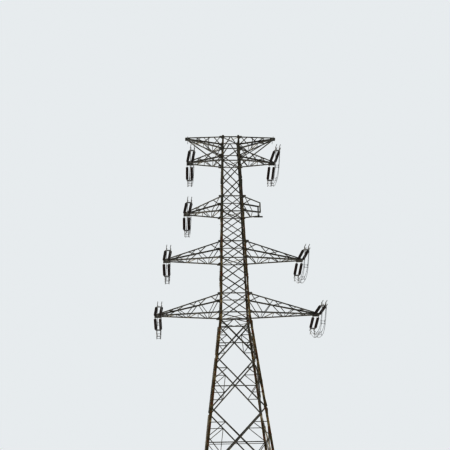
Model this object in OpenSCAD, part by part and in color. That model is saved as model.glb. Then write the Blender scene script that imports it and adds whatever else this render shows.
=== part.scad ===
// Lattice transmission tower for a line that ends and turns here: four splayed legs with crossed
// bracing up to a waist, a square mast above it, a peak beam for the earth wires and four levels of
// cross-arms. Pairs of insulator strings pull away from each arm tip on both sides, and the jumper
// loops join the two sides under the tip.
// X runs along the cross-arms, Y along the line (the far side is +Y), Z is up. The origin lies on
// the ground in the middle of the four piers. All sizes are in millimetres.

/* [Tower] */
// Distance between the leg corners at ground level
base_w = 7100; // [6800:20:7400]
// Distance between the leg corners at the waist
waist_w = 3000; // [2800:20:3200]
// Distance between the leg corners at the peak beam
peak_w = 1840; // [1700:20:2000]
// Height of the waist, where the splayed body meets the mast
waist_z = 16700; // [16000:50:17500]
// Height of the lowest bracing point of the body
body_z0 = 900; // [850:10:1000]
// Height of the top of the lowest body panel
body_z1 = 7100; // [6800:50:7400]
// Height of the top of the middle body panel
body_z2 = 12100; // [11800:50:12400]
// Distance from the top of the highest body panel up to the waist
body_drop = 750; // [400:10:900]

/* [Cross-arms] */
// Height of the lower chords of arm 3 above the waist
arm3_rise = 5900; // [5700:50:6100]
// Height of the lower chords of arm 2 above the waist
arm2_rise = 11150; // [11000:50:11300]
// Height of the lower chords of arm 1 above the waist
arm1_rise = 17150; // [17000:50:17300]
// Height of the peak beam above the waist
peak_rise = 20050; // [19900:50:20200]
// Depth of arm 4 at the mast
arm4_depth = 2050; // [1900:50:2200]
// Depth of arm 3 at the mast
arm3_depth = 1850; // [1700:50:2000]
// Depth of arm 2 at the mast
arm2_depth = 1750; // [1600:50:1900]
// Depth of arm 1 and of the peak beam at the mast
arm1_depth = 1450; // [1350:50:1500]
// Reach of the left arm 4 from the tower axis
arm4_reach = 8160; // [8000:20:8400]
// Reach of the right arm 4, on the outer side of the turn of the line
arm4_right_reach = 8700; // [8500:20:8900]
// Reach of arm 3 from the tower axis
arm3_reach = 7300; // [7000:50:7500]
// Reach of the pointed arm 2 from the tower axis
arm2_reach = 5150; // [5000:50:5300]
// Reach of the blunt arm 2 from the tower axis
stub_reach = 3000; // [2800:50:3200]
// Reach of arm 1 from the tower axis
arm1_reach = 4800; // [4600:50:5000]
// Reach of the peak beam from the tower axis
peak_reach = 4950; // [4700:50:5200]

/* [Steel sections] */
// Flange width of the body leg angles
leg_b = 200; // [180:10:220]
// Thickness of the body leg angles
leg_t = 20; // [16:1:24]
// Flange width of the mast leg angles
mast_b = 160; // [150:5:180]
// Thickness of the mast leg angles
mast_t = 16; // [12:1:20]
// Flange width of the main body diagonals
brace_b = 120; // [100:5:130]
// Flange width of the mast diagonals and of all horizontals
web_b = 85; // [70:5:90]
// Flange width of the small body struts
strut_b = 63; // [50:1:70]
// Thickness of all bracing angles
brace_t = 8; // [6:1:10]
// Flange width of the cross-arm chords
chord_b = 120; // [100:5:130]
// Thickness of the cross-arm chords
chord_t = 10; // [8:1:12]
// Flange width of the cross-arm lacing
lace_b = 60; // [45:5:65]
// Thickness of the cross-arm lacing
lace_t = 6; // [5:1:8]
// Thickness of the gusset plates
gusset_t = 12; // [8:1:16]

/* [Foundations] */
// Side of each concrete pier
pier_w = 1000; // [900:20:1100]
// Height of each concrete pier above the ground
pier_h = 600; // [500:20:700]

/* [Insulators and fittings] */
// Number of discs in one insulator string
disc_n = 14; // [12:1:16]
// Diameter of one insulator disc
disc_d = 280; // [250:5:300]
// Length that one disc adds to its string
disc_pitch = 146; // [140:2:150]
// Distance between the two strings of a pair
string_gap = 520; // [480:10:560]
// Slope below level of the strings on the far side, in degrees
far_slope = 16; // [12:1:20]
// Slope above level of the strings on the near side, in degrees
near_rise = 7; // [4:1:12]
// Turn of the near side away from straight on, in degrees
near_turn = 6; // [3:0.5:10]
// Distance between the wires of one bundle
bundle_gap = 400; // [360:10:440]
// Depth of the jumper loops below the arm tips
jumper_sag = 2050; // [1900:50:2300]
// Diameter of the jumper wires
wire_d = 34; // [28:1:40]

/* [Hidden] */
// Which node to draw; "all" draws the whole tower

steel_color = [0.55, 0.57, 0.56];
leg_color = [0.60, 0.52, 0.40];
concrete_color = [0.66, 0.65, 0.62];
insulator_color = [0.16, 0.13, 0.12];
wire_color = [0.45, 0.46, 0.47];

// Lean of the body faces and of the mast faces: how far they come in for each unit of height
body_k = (base_w - waist_w) / 2 / waist_z;
mast_k = (waist_w - peak_w) / 2 / peak_rise;
peak_z = waist_z + peak_rise;
top_z = peak_z + 180;

// Levels of the mast panels, from the waist up
arm4_z = waist_z;
arm3_z = waist_z + arm3_rise;
arm2_z = waist_z + arm2_rise;
arm1_z = waist_z + arm1_rise;
arm1_top_z = arm1_z + arm1_depth;
// Height at the mast of the long ties of the peak beam
tie_z = arm1_z + 240;
LEVELS = [
    arm4_z, arm4_z + arm4_depth, (arm4_z + arm4_depth + arm3_z) / 2,
    arm3_z, arm3_z + arm3_depth, (arm3_z + arm3_depth + arm2_z) / 2,
    arm2_z, arm2_z + arm2_depth, (arm2_z + arm2_depth + arm1_z) / 2,
    arm1_z, arm1_top_z, peak_z,
];

// Bars stop this far from the leg corner, so the outer strip of each leg flange stays free
edge = 110;
// Bars of two panels stop this far from the level where they meet, on a shared plate
meet = 60;
mast_meet = 40;
// Bars of different kinds sit this much deeper in a joint than the next, each on its own plane
seat = 1.5;
plate_w = 150;
plate_h = 260;
// The plates of two body panels stop this far from the level where they meet
joint_gap = 5;
// The lowest rail of the mast sits this far above the bend of the legs
waist_lift = 50;
// Plates at the arm roots cover this much of the leg flange
lap = 70;
// The chords of an arm start this far outside the leg corner
root_gap = 40;
// The outstanding flange of a bracing bar is cut back this far at both ends
cope = 90;
// Half width of an arm tip along the line, and the height of its end
tip_y = 150;
tip_h = 170;
// Length of the side plates of an arm tip
tip_plate = 640;
// Length of the bracket under the blunt arm, and how far it stands out
stub_shelf = 980;
stub_nose = 360;
// Length of an earth-wire clamp
earth_clamp = 420;
// The tips of the peak beam stand this much higher than its root
peak_lift = 250;
// The pair of strings hangs this far inside the end of the arm
tip_in = 240;
// The side plates of an arm tip reach this far past the end of the arm
tip_over = 70;
// Pins of the string clevises: how far outside the tip plate and below the lower chord
pin_out = 110;
pin_drop = 60;
// The string lugs end this deep in the side plate, past its middle
lug_root = 4;
// Stations along a string: start of the discs, length of the disc row, yoke, clamps, wire ends
disc_x0 = 330;
row_len = disc_n * disc_pitch;
yoke_x = disc_x0 + row_len + 130;
yoke_len = 260;
clamp_x = yoke_x + yoke_len + 120;
clamp_len = 620;
clamp_d = 64;

// Half distance between the leg corners at height z
function half_w(z) =
    z < waist_z ? base_w / 2 - body_k * z : waist_w / 2 - mast_k * (z - waist_z);
// Slant length in a leaning face for a rise of h
function slant(h, k) = h * sqrt(1 + k * k);
function unit(v) = v / norm(v);
function mix(a, b, f) = a + (b - a) * f;

// GENERAL BARS

// Angle bar with its heel on the line from p to q, one flange toward u0, the other toward d x u0
module angle_bar(p, q, b, t, u0) {
    d = unit(q - p);
    u = unit(u0 - (u0 * d) * d);
    v = cross(d, u);
    multmatrix([
        [u[0], v[0], d[0], p[0]], [u[1], v[1], d[1], p[1]],
        [u[2], v[2], d[2], p[2]], [0, 0, 0, 1],
    ])
        linear_extrude(norm(q - p))
            polygon([[0, 0], [b, 0], [b, t], [t, t], [t, b], [0, b]]);
}

// Angle bar that looks the same on the near side (s = -1) and, mirrored, on the far side (s = 1)
module side_bar(p, q, b, t, u0, s) {
    if (s < 0)
        angle_bar(p, q, b, t, u0);
    else
        angle_bar(q, p, b, t, u0);
}

// Angle bar lying in a face: flat flange from lay to lay + t, outstanding flange outward or inward
module face_bar(a, b, w, t, lay, outward) {
    len = norm(b - a);
    translate([a[0], a[1], 0])
        rotate([0, 0, atan2(b[1] - a[1], b[0] - a[0])]) {
            translate([0, -w / 2, lay])
                cube([len, w, t]);
            translate([cope, -w / 2, outward ? lay : lay + t - w])
                cube([len - 2 * cope, t, w]);
        }
}

// Puts its children in the frame of a face: x across, y up the slope, z outward
module face_frame(z0, k, turn) {
    rotate([0, 0, turn])
        translate([0, -half_w(z0), z0])
            rotate([90 - atan(k), 0, 0])
                children();
}

// LEGS

// Straight piece of one leg between two heights, trimmed level at both ends
module leg_piece(z0, z1, k, b, t) {
    // corner line of the near right leg
    function corner(z) = [half_w(z0) - k * (z - z0), -half_w(z0) + k * (z - z0), z];
    p = corner(z0 - 2 * b * k);
    q = corner(z1 + 2 * b * k);
    d = unit(q - p);
    // directions of the two flanges, each in its own face and square to the corner line
    e1 = unit(cross([0, -1, k], d));
    e2 = unit(cross(d, [1, 0, k]));
    v = cross(d, e1);
    c = e2 * e1;
    s = e2 * v;
    inner = t * (1 + c) / s;
    intersection() {
        multmatrix([
            [e1[0], v[0], d[0], p[0]], [e1[1], v[1], d[1], p[1]],
            [e1[2], v[2], d[2], p[2]], [0, 0, 0, 1],
        ])
            linear_extrude(norm(q - p))
                polygon([
                    [0, 0], [b, 0], [b, t], [inner, t],
                    [c * b + s * t, s * b - c * t], [c * b, s * b],
                ]);
        translate([0, -base_w, z0])
            cube([base_w, base_w, z1 - z0]);
    }
}

module leg(flip_x, flip_y) {
    color(leg_color)
        mirror([flip_x, 0, 0])
            mirror([0, flip_y, 0]) {
                leg_piece(pier_h, waist_z, body_k, leg_b, leg_t);
                leg_piece(waist_z, top_z, mast_k, mast_b, mast_t);
            }
}

// BRACING OF ONE BODY FACE

// Half width inside a face at slant height y, less the free strip
function body_in(y) = half_w(body_z0) - body_k * y / sqrt(1 + body_k * body_k) - edge;

// Plate on a leg flange at the ends of the bars, between two slant heights; x is its edge nearest
// the leg corner
module node_plate(x, ya, yb, s, lay) {
    translate([s > 0 ? x - plate_w : -x, ya, lay + 2])
        cube([plate_w, yb - ya, brace_t - 3]);
}

// One crossed panel with the small struts beside the crossing and, if asked for, a middle rail. The
// diagonal that starts on side s lies behind the leg flanges, the other one in front of them
module body_panel(y0, y1, s, rail) {
    in_lay = -leg_t - brace_t;
    ya = y0 + meet;
    yb = y1 - meet;
    wa = body_in(ya);
    wb = body_in(yb);
    yc = ya + (yb - ya) * wa / (wa + wb);
    face_bar([s * wa, ya], [-s * wb, yb], brace_b, brace_t, in_lay, false);
    face_bar([-s * wa, ya], [s * wb, yb], brace_b, brace_t, 0, true);
    // packing between the two diagonals at their crossing
    translate([-70, yc - 70, -leg_t - 4])
        cube([140, 140, leg_t + 8]);
    if (rail)
        face_bar([-body_in(yc), yc], [body_in(yc), yc], web_b, brace_t, in_lay - seat, false);
    // struts: each pair joins the diagonal of its own quarter
    for (side = [-1, 1], up = [0, 1]) {
        inner = (side == s) == (up == 0);
        ym = up == 0 ? (ya + yc) / 2 : (yc + yb) / 2;
        xm = side * (up == 0 ? wa : wb) / 2;
        lay = inner ? in_lay - 2 * seat : 2 * seat;
        face_bar([side * body_in(ym), ym], [xm, ym], strut_b, brace_t, lay, !inner);
        yl = yc + (up == 0 ? -70 : 70);
        face_bar([side * body_in(yl), yl], [xm, ym], strut_b, brace_t,
            lay + (inner ? -seat : seat), !inner);
    }
}

// The half plates of a panel at the joint at slant height y: one behind the leg flange on side s,
// one in front of it on the other side. up is 1 above the joint and -1 below it
module joint_plates(y, s, up) {
    x = body_in(y) + 20;
    ya = up > 0 ? y + joint_gap : y - plate_h / 2;
    yb = up > 0 ? y + plate_h / 2 : y - joint_gap;
    node_plate(x, ya, yb, s, -leg_t - brace_t);
    node_plate(x, ya, yb, -s, 0);
}

// Bracing of one face in one panel of the body, counted from the ground. The near face has no rails
module body_bracing(panel, turn) {
    ends = [
        0, slant(body_z1 - body_z0, body_k), slant(body_z2 - body_z0, body_k),
        slant(waist_z - body_drop - body_z0, body_k),
    ];
    s = panel == 1 ? 1 : -1;
    color(steel_color)
        face_frame(body_z0, body_k, turn) {
            body_panel(ends[panel], ends[panel + 1], s, turn != 0);
            if (panel > 0)
                joint_plates(ends[panel], s, 1);
            if (panel < 2)
                joint_plates(ends[panel + 1], -s, -1);
        }
}

// BRACING OF ONE MAST FACE

function mast_y(z) = slant(z - waist_z, mast_k);
function mast_in(y) = waist_w / 2 - mast_k * y / sqrt(1 + mast_k * mast_k) - edge;

module mast_rail(y) {
    face_bar([-mast_in(y), y], [mast_in(y), y], web_b, brace_t, -mast_t - brace_t - seat, false);
}

module mast_plate(y, s, lay) {
    node_plate(mast_in(y) + 20, y - plate_h / 2, y + plate_h / 2, s, lay);
}

module mast_panel(y0, y1, s) {
    ya = y0 + mast_meet;
    yb = y1 - mast_meet;
    wa = mast_in(ya);
    wb = mast_in(yb);
    yc = ya + (yb - ya) * wa / (wa + wb);
    face_bar([s * wa, ya], [-s * wb, yb], web_b, brace_t, -mast_t - brace_t, false);
    face_bar([-s * wa, ya], [s * wb, yb], web_b, brace_t, 0, true);
    translate([-50, yc - 50, -mast_t - 4])
        cube([100, 100, mast_t + 8]);
}

module mast_bracing(turn) {
    n = len(LEVELS);
    color(steel_color)
        face_frame(waist_z, mast_k, turn) {
            // rails at the levels of the arm chords
            for (i = [0, 1, 3, 4, 6, 7, 9, 10, 11])
                mast_rail(mast_y(LEVELS[i]) + (i == 0 ? waist_lift : 0));
            for (i = [0 : n - 4]) {
                s = i % 2 == 0 ? 1 : -1;
                mast_panel(mast_y(LEVELS[i]) + (i == 0 ? waist_lift : 0),
                    mast_y(LEVELS[i + 1]), s);
                y = mast_y(LEVELS[i + 1]);
                mast_plate(y, -s, -mast_t - brace_t);
                mast_plate(y, s, 0);
            }
            // one diagonal below the peak, and an inverted V under the peak beam
            y1 = mast_y(arm1_z) + mast_meet;
            y2 = mast_y(arm1_top_z);
            y3 = mast_y(peak_z);
            lay = -mast_t - brace_t;
            face_bar([-mast_in(y1), y1], [mast_in(y2), y2 - mast_meet], web_b, brace_t,
                lay - 2 * seat, false);
            for (s = [-1, 1]) {
                face_bar([s * mast_in(y2), y2 + mast_meet], [s * 20, y3], web_b, brace_t,
                    lay - (s > 0 ? 2 : 3) * seat, false);
                mast_plate(y2, s, -mast_t - brace_t);
            }
        }
}

// LEVEL BRACING INSIDE THE MAST

// Crossed angles from corner to corner, with a plate seated in each leg corner. The plates touch
// only the outer strip of the leg flanges, clear of the bars behind them
module plan_cross(z, t) {
    c = half_w(z + brace_t) - t;
    a = c - 90;
    for (turn = [0 : 90 : 270])
        rotate([0, 0, turn])
            translate([0, 0, z])
                linear_extrude(brace_t)
                    polygon([
                        [c, c], [c - 55, c], [c - 75, c - 20], [c - 260, c - 20],
                        [c - 20, c - 260], [c - 20, c - 75], [c, c - 55],
                    ]);
    angle_bar([-a, -a, z + 2], [a, a, z + 2], strut_b, brace_t, [-1, 1, 0]);
    angle_bar([a, -a, z - 2], [-a, a, z - 2], strut_b, brace_t, [-1, -1, 0]);
}

module plan_bracing() {
    color(steel_color) {
        plan_cross(waist_z - 120, leg_t);
        for (z = [arm3_z, arm2_z, arm1_z, peak_z])
            plan_cross(z - 90, mast_t);
    }
}

// CROSS-ARMS, DRAWN FOR THE RIGHT SIDE

// Plate on a mast face at an arm root; up is 1 above a lower chord and -1 below an upper chord.
// head and tail: how far it runs past the chord on its deep side and on the other
module root_plate(z, up, turn_y, head = 260, tail = 90) {
    mirror([0, turn_y, 0])
        face_frame(waist_z, mast_k, 0) {
            y = mast_y(z);
            w = half_w(z);
            linear_extrude(gusset_t)
                polygon([
                    [w - lap, y - up * tail], [w + 330, y - up * min(tail, 60)],
                    [w + 330, y + up * 70], [w + 90, y + up * head], [w - lap, y + up * head],
                ]);
        }
}

// Point at fraction f along a chord that runs from the mast at height z to its end
function chord_point(z, s, end, f) =
    mix([half_w(z) + root_gap, s * (half_w(z) + gusset_t / 2), z], [end[0], s * end[1], end[2]], f);

// Four chords from the mast to the tip with lacing between them.
// zb and zt: heights at the mast; zeb and zet: heights of the lower and upper chords at the end
module lattice_arm(reach, zb, zt, zeb, zet, ye, bays) {
    function low(f, s) = chord_point(zb, s, [reach, ye, zeb], f);
    function high(f, s) = chord_point(zt, s, [reach, ye, zet], f);
    angle_bar(low(0, -1), low(1, -1), chord_b, chord_t, [0, 1, 0]);
    angle_bar(low(0, 1), low(1, 1), chord_b, chord_t, [0, 0, 1]);
    angle_bar(high(0, -1), high(1, -1), chord_b, chord_t, [0, 0, -1]);
    angle_bar(high(0, 1), high(1, 1), chord_b, chord_t, [0, -1, 0]);
    // neighbouring lacing bars sit at slightly different depths in the chord flange
    function depth(i) = chord_t * (i % 2 == 0 ? 0.2 : 0.32);
    for (s = [-1, 1])
        for (i = [0 : bays - 2]) {
            in = depth(i);
            f0 = (i + 0.15) / bays;
            f1 = (i + 1) / bays;
            // zigzag between the lower and the upper chord
            lo = low(i % 2 == 0 ? f1 : f0, s) + [0, -s * in, 45];
            hi = high(i % 2 == 0 ? f0 : f1, s) + [0, -s * in, -45];
            angle_bar(lo, hi, lace_b, lace_t, [-s, 0, 0]);
        }
    for (i = [0 : bays - 2]) {
        f0 = (i + 0.2) / bays;
        f1 = (i + 0.96) / bays;
        s = i % 2 == 0 ? 1 : -1;
        in = depth(i);
        // zigzag and cross struts in the floor of the arm, zigzag in its roof
        a = low(f0, -s) + [0, s * 45, in];
        b = low(f1, s) + [0, -s * 45, in];
        angle_bar(a, b, lace_b, lace_t, cross([0, 0, 1], b - a));
        c = high(f0 + 0.01, s) + [0, -s * 45, -in];
        d = high(f1 - 0.01, -s) + [0, s * 45, -in];
        angle_bar(c, d, lace_b, lace_t, cross([0, 0, -1], d - c));
    }
    for (i = [1 : bays - 1]) {
        f = (i + 0.04) / bays;
        a = low(f, -1) + [0, 52, chord_t / 10];
        b = low(f, 1) + [0, -52, chord_t / 10];
        if (b[1] - a[1] > 200)
            angle_bar(a, b, lace_b, lace_t, cross([0, 0, 1], b - a));
    }
}

// Puts its children in the frame of a string pair: x runs away from the tower along the strings,
// which are turned on the near side
module run_frame(reach, z, side, far, turn = near_turn) {
    translate([side * (reach - tip_in), (far ? 1 : -1) * (tip_y + pin_out), z - pin_drop])
        rotate([0, 0, far ? 90 : -90 + turn])
            children();
}

// Lug that a string clevis grips, seen from its pin, with the side plate this far back
module lug(back) {
    translate([-back, -8, -45])
        cube([back + 40, 16, 110]);
}

// Side and end plates of an arm tip between two heights
module tip_plates(reach, z0, z1, len) {
    for (s = [-1, 1])
        translate([reach - len, s > 0 ? tip_y - 8 : -tip_y - 8, z0])
            cube([len + tip_over, 16, z1 - z0]);
    translate([reach - 20, -tip_y, z0 + 80])
        cube([16, 2 * tip_y, z1 - z0 - 100]);
}

// End plates and lugs of an arm that carries strings turned by the given angle on the near side
module arm_tip(reach, z, turn) {
    tip_plates(reach, z - 120, z + tip_h + 10, tip_plate);
    translate([reach - tip_plate, -tip_y, z - 40])
        cube([16, 2 * tip_y, tip_h + 30]);
    for (far = [false, true], s = [-1, 1]) {
        a = far ? 0 : turn;
        run_frame(reach, z, 1, far, turn)
            translate([0, s * string_gap / 2, 0])
                lug((pin_out + lug_root) / cos(a) - s * string_gap / 2 * tan(a));
    }
}

module cross_arm(reach, z, depth, bays, turn) {
    lattice_arm(reach, z, z + depth, z, z + tip_h, tip_y, bays);
    arm_tip(reach, z, turn);
    for (far = [0, 1]) {
        root_plate(z, 1, far);
        root_plate(z + depth, -1, far);
    }
}

// The blunt arm: a short box frame closed by a square end, with a bracket under its far chord
module stub_arm() {
    z = arm2_z;
    ye = 590;
    ze = 1180;
    lattice_arm(stub_reach, z, z + arm2_depth, z, z + ze, ye, 2);
    for (s = [-1, 1]) {
        a = [stub_reach - 60, s * (ye - 5), z + 5];
        angle_bar(a, a + [0, 0, ze - 10], chord_b, chord_t, [-1, 0, 0] * (s < 0 ? -1 : 1));
    }
    for (h = [3, ze - chord_b - 3])
        translate([stub_reach - chord_t, -ye, z + h])
            cube([chord_t, 2 * ye, chord_b]);
    translate([stub_reach + stub_nose - stub_shelf, ye - 12, z - 110])
        cube([stub_shelf, 16, 150]);
    translate([stub_reach + stub_nose - stub_shelf, ye - 84, z - 110])
        cube([stub_shelf, 80, 12]);
    for (far = [0, 1]) {
        root_plate(z, 1, far);
        root_plate(z + arm2_depth, -1, far);
    }
}

// The peak beam: nearly flat on top, its lower chords rise to the tip, and a post stands between
// the chords of each side. A long tie runs from the tip down to the mast at the level of arm 1
module peak_beam() {
    zt = peak_z + peak_lift;
    lattice_arm(peak_reach, arm1_top_z, peak_z, zt - tip_h, zt, tip_y, 4);
    tip_plates(peak_reach, zt - tip_h - 90, zt - 30, tip_plate - 140);
    for (s = [-1, 1]) {
        post = 0.36;
        foot = chord_point(arm1_top_z, s, [peak_reach, tip_y, zt - tip_h], post) + [0, -2.5 * s, 30];
        head = chord_point(peak_z, s, [peak_reach, tip_y, zt], post) + [0, -2.5 * s, -30];
        along = chord_point(peak_z, s, [peak_reach, tip_y, zt], 1) - head;
        side_bar(foot, head, lace_b, lace_t, along, s);
        root = [half_w(tie_z) + 20, s * (half_w(tie_z) + gusset_t - 2), tie_z - 30];
        tip = chord_point(arm1_top_z, s, [peak_reach, tip_y, zt - tip_h], 0.93) + [0, -4 * s, 15];
        side_bar(root, tip, web_b, brace_t, [0, 0, 1], s);
    }
    for (far = [0, 1]) {
        root_plate(arm1_top_z, 1, far, tail = 8);
        root_plate(peak_z, -1, far);
        root_plate(tie_z, 1, far, head = 90, tail = 60);
    }
}

// Arm 1 springs from the mast just under the peak beam
module arm_1(turn) {
    zt = arm1_top_z - 24;
    lattice_arm(arm1_reach, arm1_z, zt, arm1_z, arm1_z + tip_h, tip_y, 4);
    arm_tip(arm1_reach, arm1_z, turn);
    for (far = [0, 1]) {
        root_plate(arm1_z, 1, far, head = 150);
        root_plate(zt, -1, far, tail = 8);
    }
}

module sided(right) {
    color(steel_color)
        mirror([right ? 0 : 1, 0, 0])
            children();
}

// INSULATORS AND FITTINGS

// One string of cap-and-pin discs along x
module string_row() {
    r = disc_d / 2;
    translate([disc_x0, 0, 0])
        rotate([0, 90, 0])
            rotate_extrude($fn = 48)
                polygon(concat(
                    [[0, 0]],
                    [for (i = [0 : disc_n - 1]) each [
                        [38, i * disc_pitch], [52, i * disc_pitch + 62],
                        [r, i * disc_pitch + 96], [r - 8, i * disc_pitch + 112],
                        [46, i * disc_pitch + 92], [20, i * disc_pitch + 110],
                        [20, (i + 1) * disc_pitch],
                    ]],
                    [[0, row_len]]));
}

// Draws its children in the frame of each string pair at the tips on the given sides (-1 is left,
// 1 is right), sloped along the strings
module each_pair(reach, z, sides) {
    for (side = sides, far = [false, true])
        run_frame(reach, z, side, far)
            rotate([0, far ? far_slope : -near_rise, 0])
                children();
}

// Draws its children once for each of the two strings of a pair
module each_string() {
    for (s = [-1, 1])
        translate([0, s * string_gap / 2, 0])
            children();
}

module insulators(reach, z, sides) {
    color(insulator_color)
        each_pair(reach, z, sides)
            each_string()
                string_row();
}

// Clevis on the arm lug, and the link from it to the first disc
module string_head() {
    for (s = [-1, 1])
        translate([0, s * 14, 0])
            rotate([90, 0, 0])
                linear_extrude(12, center = true) {
                    circle(r = 34, $fn = 32);
                    translate([0, -25])
                        square([150, 50]);
                }
    translate([90, -20, -25])
        cube([60, 40, 50]);
    translate([140, 0, 0])
        rotate([0, 90, 0])
            cylinder(d = 32, h = disc_x0 - 140, $fn = 24);
}

// Socket and tongue from the last disc to the yoke
module string_foot() {
    translate([disc_x0 + row_len, 0, 0])
        rotate([0, 90, 0])
            cylinder(d = 40, h = 100, $fn = 24);
    translate([disc_x0 + row_len + 60, -8, -30])
        cube([yoke_x - disc_x0 - row_len, 16, 60]);
}

// Yoke of a string pair with its four compression clamps
module yoke() {
    g = string_gap / 2;
    h = bundle_gap / 2;
    translate([yoke_x, 0, -8])
        linear_extrude(16)
            polygon([[0, -g - 60], [110, -g - 60], [yoke_len, -h - 60], [yoke_len, h + 60],
                [110, g + 60], [0, g + 60]]);
    for (s = [-1, 1]) {
        translate([yoke_x + 120, s * h + 8, 0])
            rotate([90, 0, 0])
                linear_extrude(16)
                    polygon([[0, -60], [yoke_len - 40, -h - 50], [yoke_len, -h - 50],
                        [yoke_len, h + 50], [yoke_len - 40, h + 50], [0, 60]]);
        for (v = [-1, 1])
            translate([yoke_x + 90 + yoke_len - 60, s * h, v * h])
                rotate([0, 90, 0])
                    cylinder(d = 40, h = 120, $fn = 24);
    }
}

module clamps() {
    h = bundle_gap / 2;
    for (s = [-1, 1], v = [-1, 1])
        translate([clamp_x, s * h, v * h]) {
            rotate([0, 90, 0])
                cylinder(d = clamp_d, h = clamp_len, $fn = 24);
            // pad that the jumper is bolted to
            translate([120, -10, -110])
                cube([90, 20, 110]);
        }
}

module fittings(reach, z, sides) {
    color(wire_color)
        each_pair(reach, z, sides) {
            each_string() {
                string_head();
                string_foot();
            }
            yoke();
            clamps();
        }
}

// JUMPERS

JUMP_N = 14;
JUMP_SIDES = 6;

// Point of a run frame, turned and sloped, in tower coordinates
function run_point(reach, z, side, far, p) =
    let (
        a = far ? far_slope : -near_rise,
        b = far ? 90 : -90 + near_turn,
        x = p[0] * cos(a) + p[2] * sin(a),
        y = p[1],
        h = -p[0] * sin(a) + p[2] * cos(a)
    )
    [
        side * (reach - tip_in) + x * cos(b) - y * sin(b),
        (far ? 1 : -1) * (tip_y + pin_out) + x * sin(b) + y * cos(b),
        z - pin_drop + h,
    ];

// Centre line of one jumper wire from the near clamp pad to the far one
function jumper_line(reach, z, side, s, v) =
    let (
        h = bundle_gap / 2,
        a = run_point(reach, z, side, false, [clamp_x + 165, -s * h, v * h - 110]),
        b = run_point(reach, z, side, true, [clamp_x + 165, s * h, v * h - 110]),
        low = z - jumper_sag + v * h
    )
    [for (i = [0 : JUMP_N])
        let (
            f = i / JUMP_N,
            g = (1 - cos(180 * f)) / 2,
            bowl = 1 - pow(abs(2 * g - 1), 2.6)
        )
        [
            mix(a[0], b[0], g),
            mix(a[1], b[1], g),
            mix(mix(a[2], b[2], g), low, bowl),
        ]];

// Tube of JUMP_SIDES sides along a list of points
module tube(path, d) {
    n = len(path);
    rings = [for (i = [0 : n - 1])
        let (
            dir = unit(path[min(i + 1, n - 1)] - path[max(i - 1, 0)]),
            u = unit(cross([1, 0, 0], dir)),
            v = cross(dir, u)
        )
        for (j = [0 : JUMP_SIDES - 1])
            path[i] + (u * cos(360 * j / JUMP_SIDES) + v * sin(360 * j / JUMP_SIDES)) * d / 2];
    faces = concat(
        [[for (j = [0 : JUMP_SIDES - 1]) j]],
        [for (i = [0 : n - 2], j = [0 : JUMP_SIDES - 1])
            let (k = (j + 1) % JUMP_SIDES)
            [i * JUMP_SIDES + j, (i + 1) * JUMP_SIDES + j,
             (i + 1) * JUMP_SIDES + k, i * JUMP_SIDES + k]],
        [[for (j = [JUMP_SIDES - 1 : -1 : 0]) (n - 1) * JUMP_SIDES + j]]);
    polyhedron(rings, faces, convexity = 4);
}

module jumpers(reach, z, sides) {
    color(wire_color)
        for (side = sides, s = [-1, 1], v = [-1, 1])
            tube(jumper_line(reach, z, side, s, v), wire_d);
}

// EARTH-WIRE FITTINGS AT THE ENDS OF THE PEAK BEAM

module earth_wire_clamps() {
    color(wire_color)
        for (side = [-1, 1], far = [false, true])
            translate([side * (peak_reach - 200), (far ? 1 : -1) * (tip_y + 8),
                peak_z + peak_lift - tip_h - 60])
                rotate([0, far ? far_slope : -near_rise, far ? 90 : -90]) {
                    translate([0, -12, -30])
                        cube([160, 24, 60]);
                    translate([140, 0, 0])
                        rotate([0, 90, 0])
                            cylinder(d = 44, h = earth_clamp, $fn = 24);
                }
}

module foundation_piers() {
    color(concrete_color)
        for (sx = [-1, 1], sy = [-1, 1])
            translate([sx * (half_w(pier_h) - 60) - pier_w / 2,
                sy * (half_w(pier_h) - 60) - pier_w / 2, 0])
                cube([pier_w, pier_w, pier_h]);
}

foundation_piers();
leg(1, 0);  // leg_near_left
leg(0, 0);  // leg_near_right
leg(1, 1);  // leg_far_left
leg(0, 1);  // leg_far_right
body_bracing(0, 0);  // lower_bracing_near
body_bracing(0, 180);  // lower_bracing_far
body_bracing(0, 270);  // lower_bracing_left
body_bracing(0, 90);  // lower_bracing_right
body_bracing(1, 0);  // middle_bracing_near
body_bracing(1, 180);  // middle_bracing_far
body_bracing(1, 270);  // middle_bracing_left
body_bracing(1, 90);  // middle_bracing_right
body_bracing(2, 0);  // upper_bracing_near
body_bracing(2, 180);  // upper_bracing_far
body_bracing(2, 270);  // upper_bracing_left
body_bracing(2, 90);  // upper_bracing_right
mast_bracing(0);  // mast_bracing_near
mast_bracing(180);  // mast_bracing_far
mast_bracing(270);  // mast_bracing_left
mast_bracing(90);  // mast_bracing_right
plan_bracing();
sided(false) peak_beam();  // peak_beam_left
sided(true) peak_beam();  // peak_beam_right
sided(false) arm_1(-near_turn);  // arm_1_left
sided(true) arm_1(near_turn);  // arm_1_right
sided(false) cross_arm(arm2_reach, arm2_z, arm2_depth, 4, -near_turn);  // arm_2_left
sided(true) stub_arm();  // arm_2_right
sided(false) cross_arm(arm3_reach, arm3_z, arm3_depth, 5, -near_turn);  // arm_3_left
sided(true) cross_arm(arm3_reach, arm3_z, arm3_depth, 5, near_turn);  // arm_3_right
sided(false) cross_arm(arm4_reach, arm4_z, arm4_depth, 6, -near_turn);  // arm_4_left
sided(true) cross_arm(arm4_right_reach, arm4_z, arm4_depth, 6, near_turn);  // arm_4_right
insulators(arm1_reach, arm1_z, [-1, 1]);  // insulators_1
insulators(arm2_reach, arm2_z, [-1]);  // insulators_2
insulators(arm3_reach, arm3_z, [-1, 1]);  // insulators_3
union() {  // insulators_4
    insulators(arm4_reach, arm4_z, [-1]);
    insulators(arm4_right_reach, arm4_z, [1]);
}
fittings(arm1_reach, arm1_z, [-1, 1]);  // fittings_1
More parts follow.
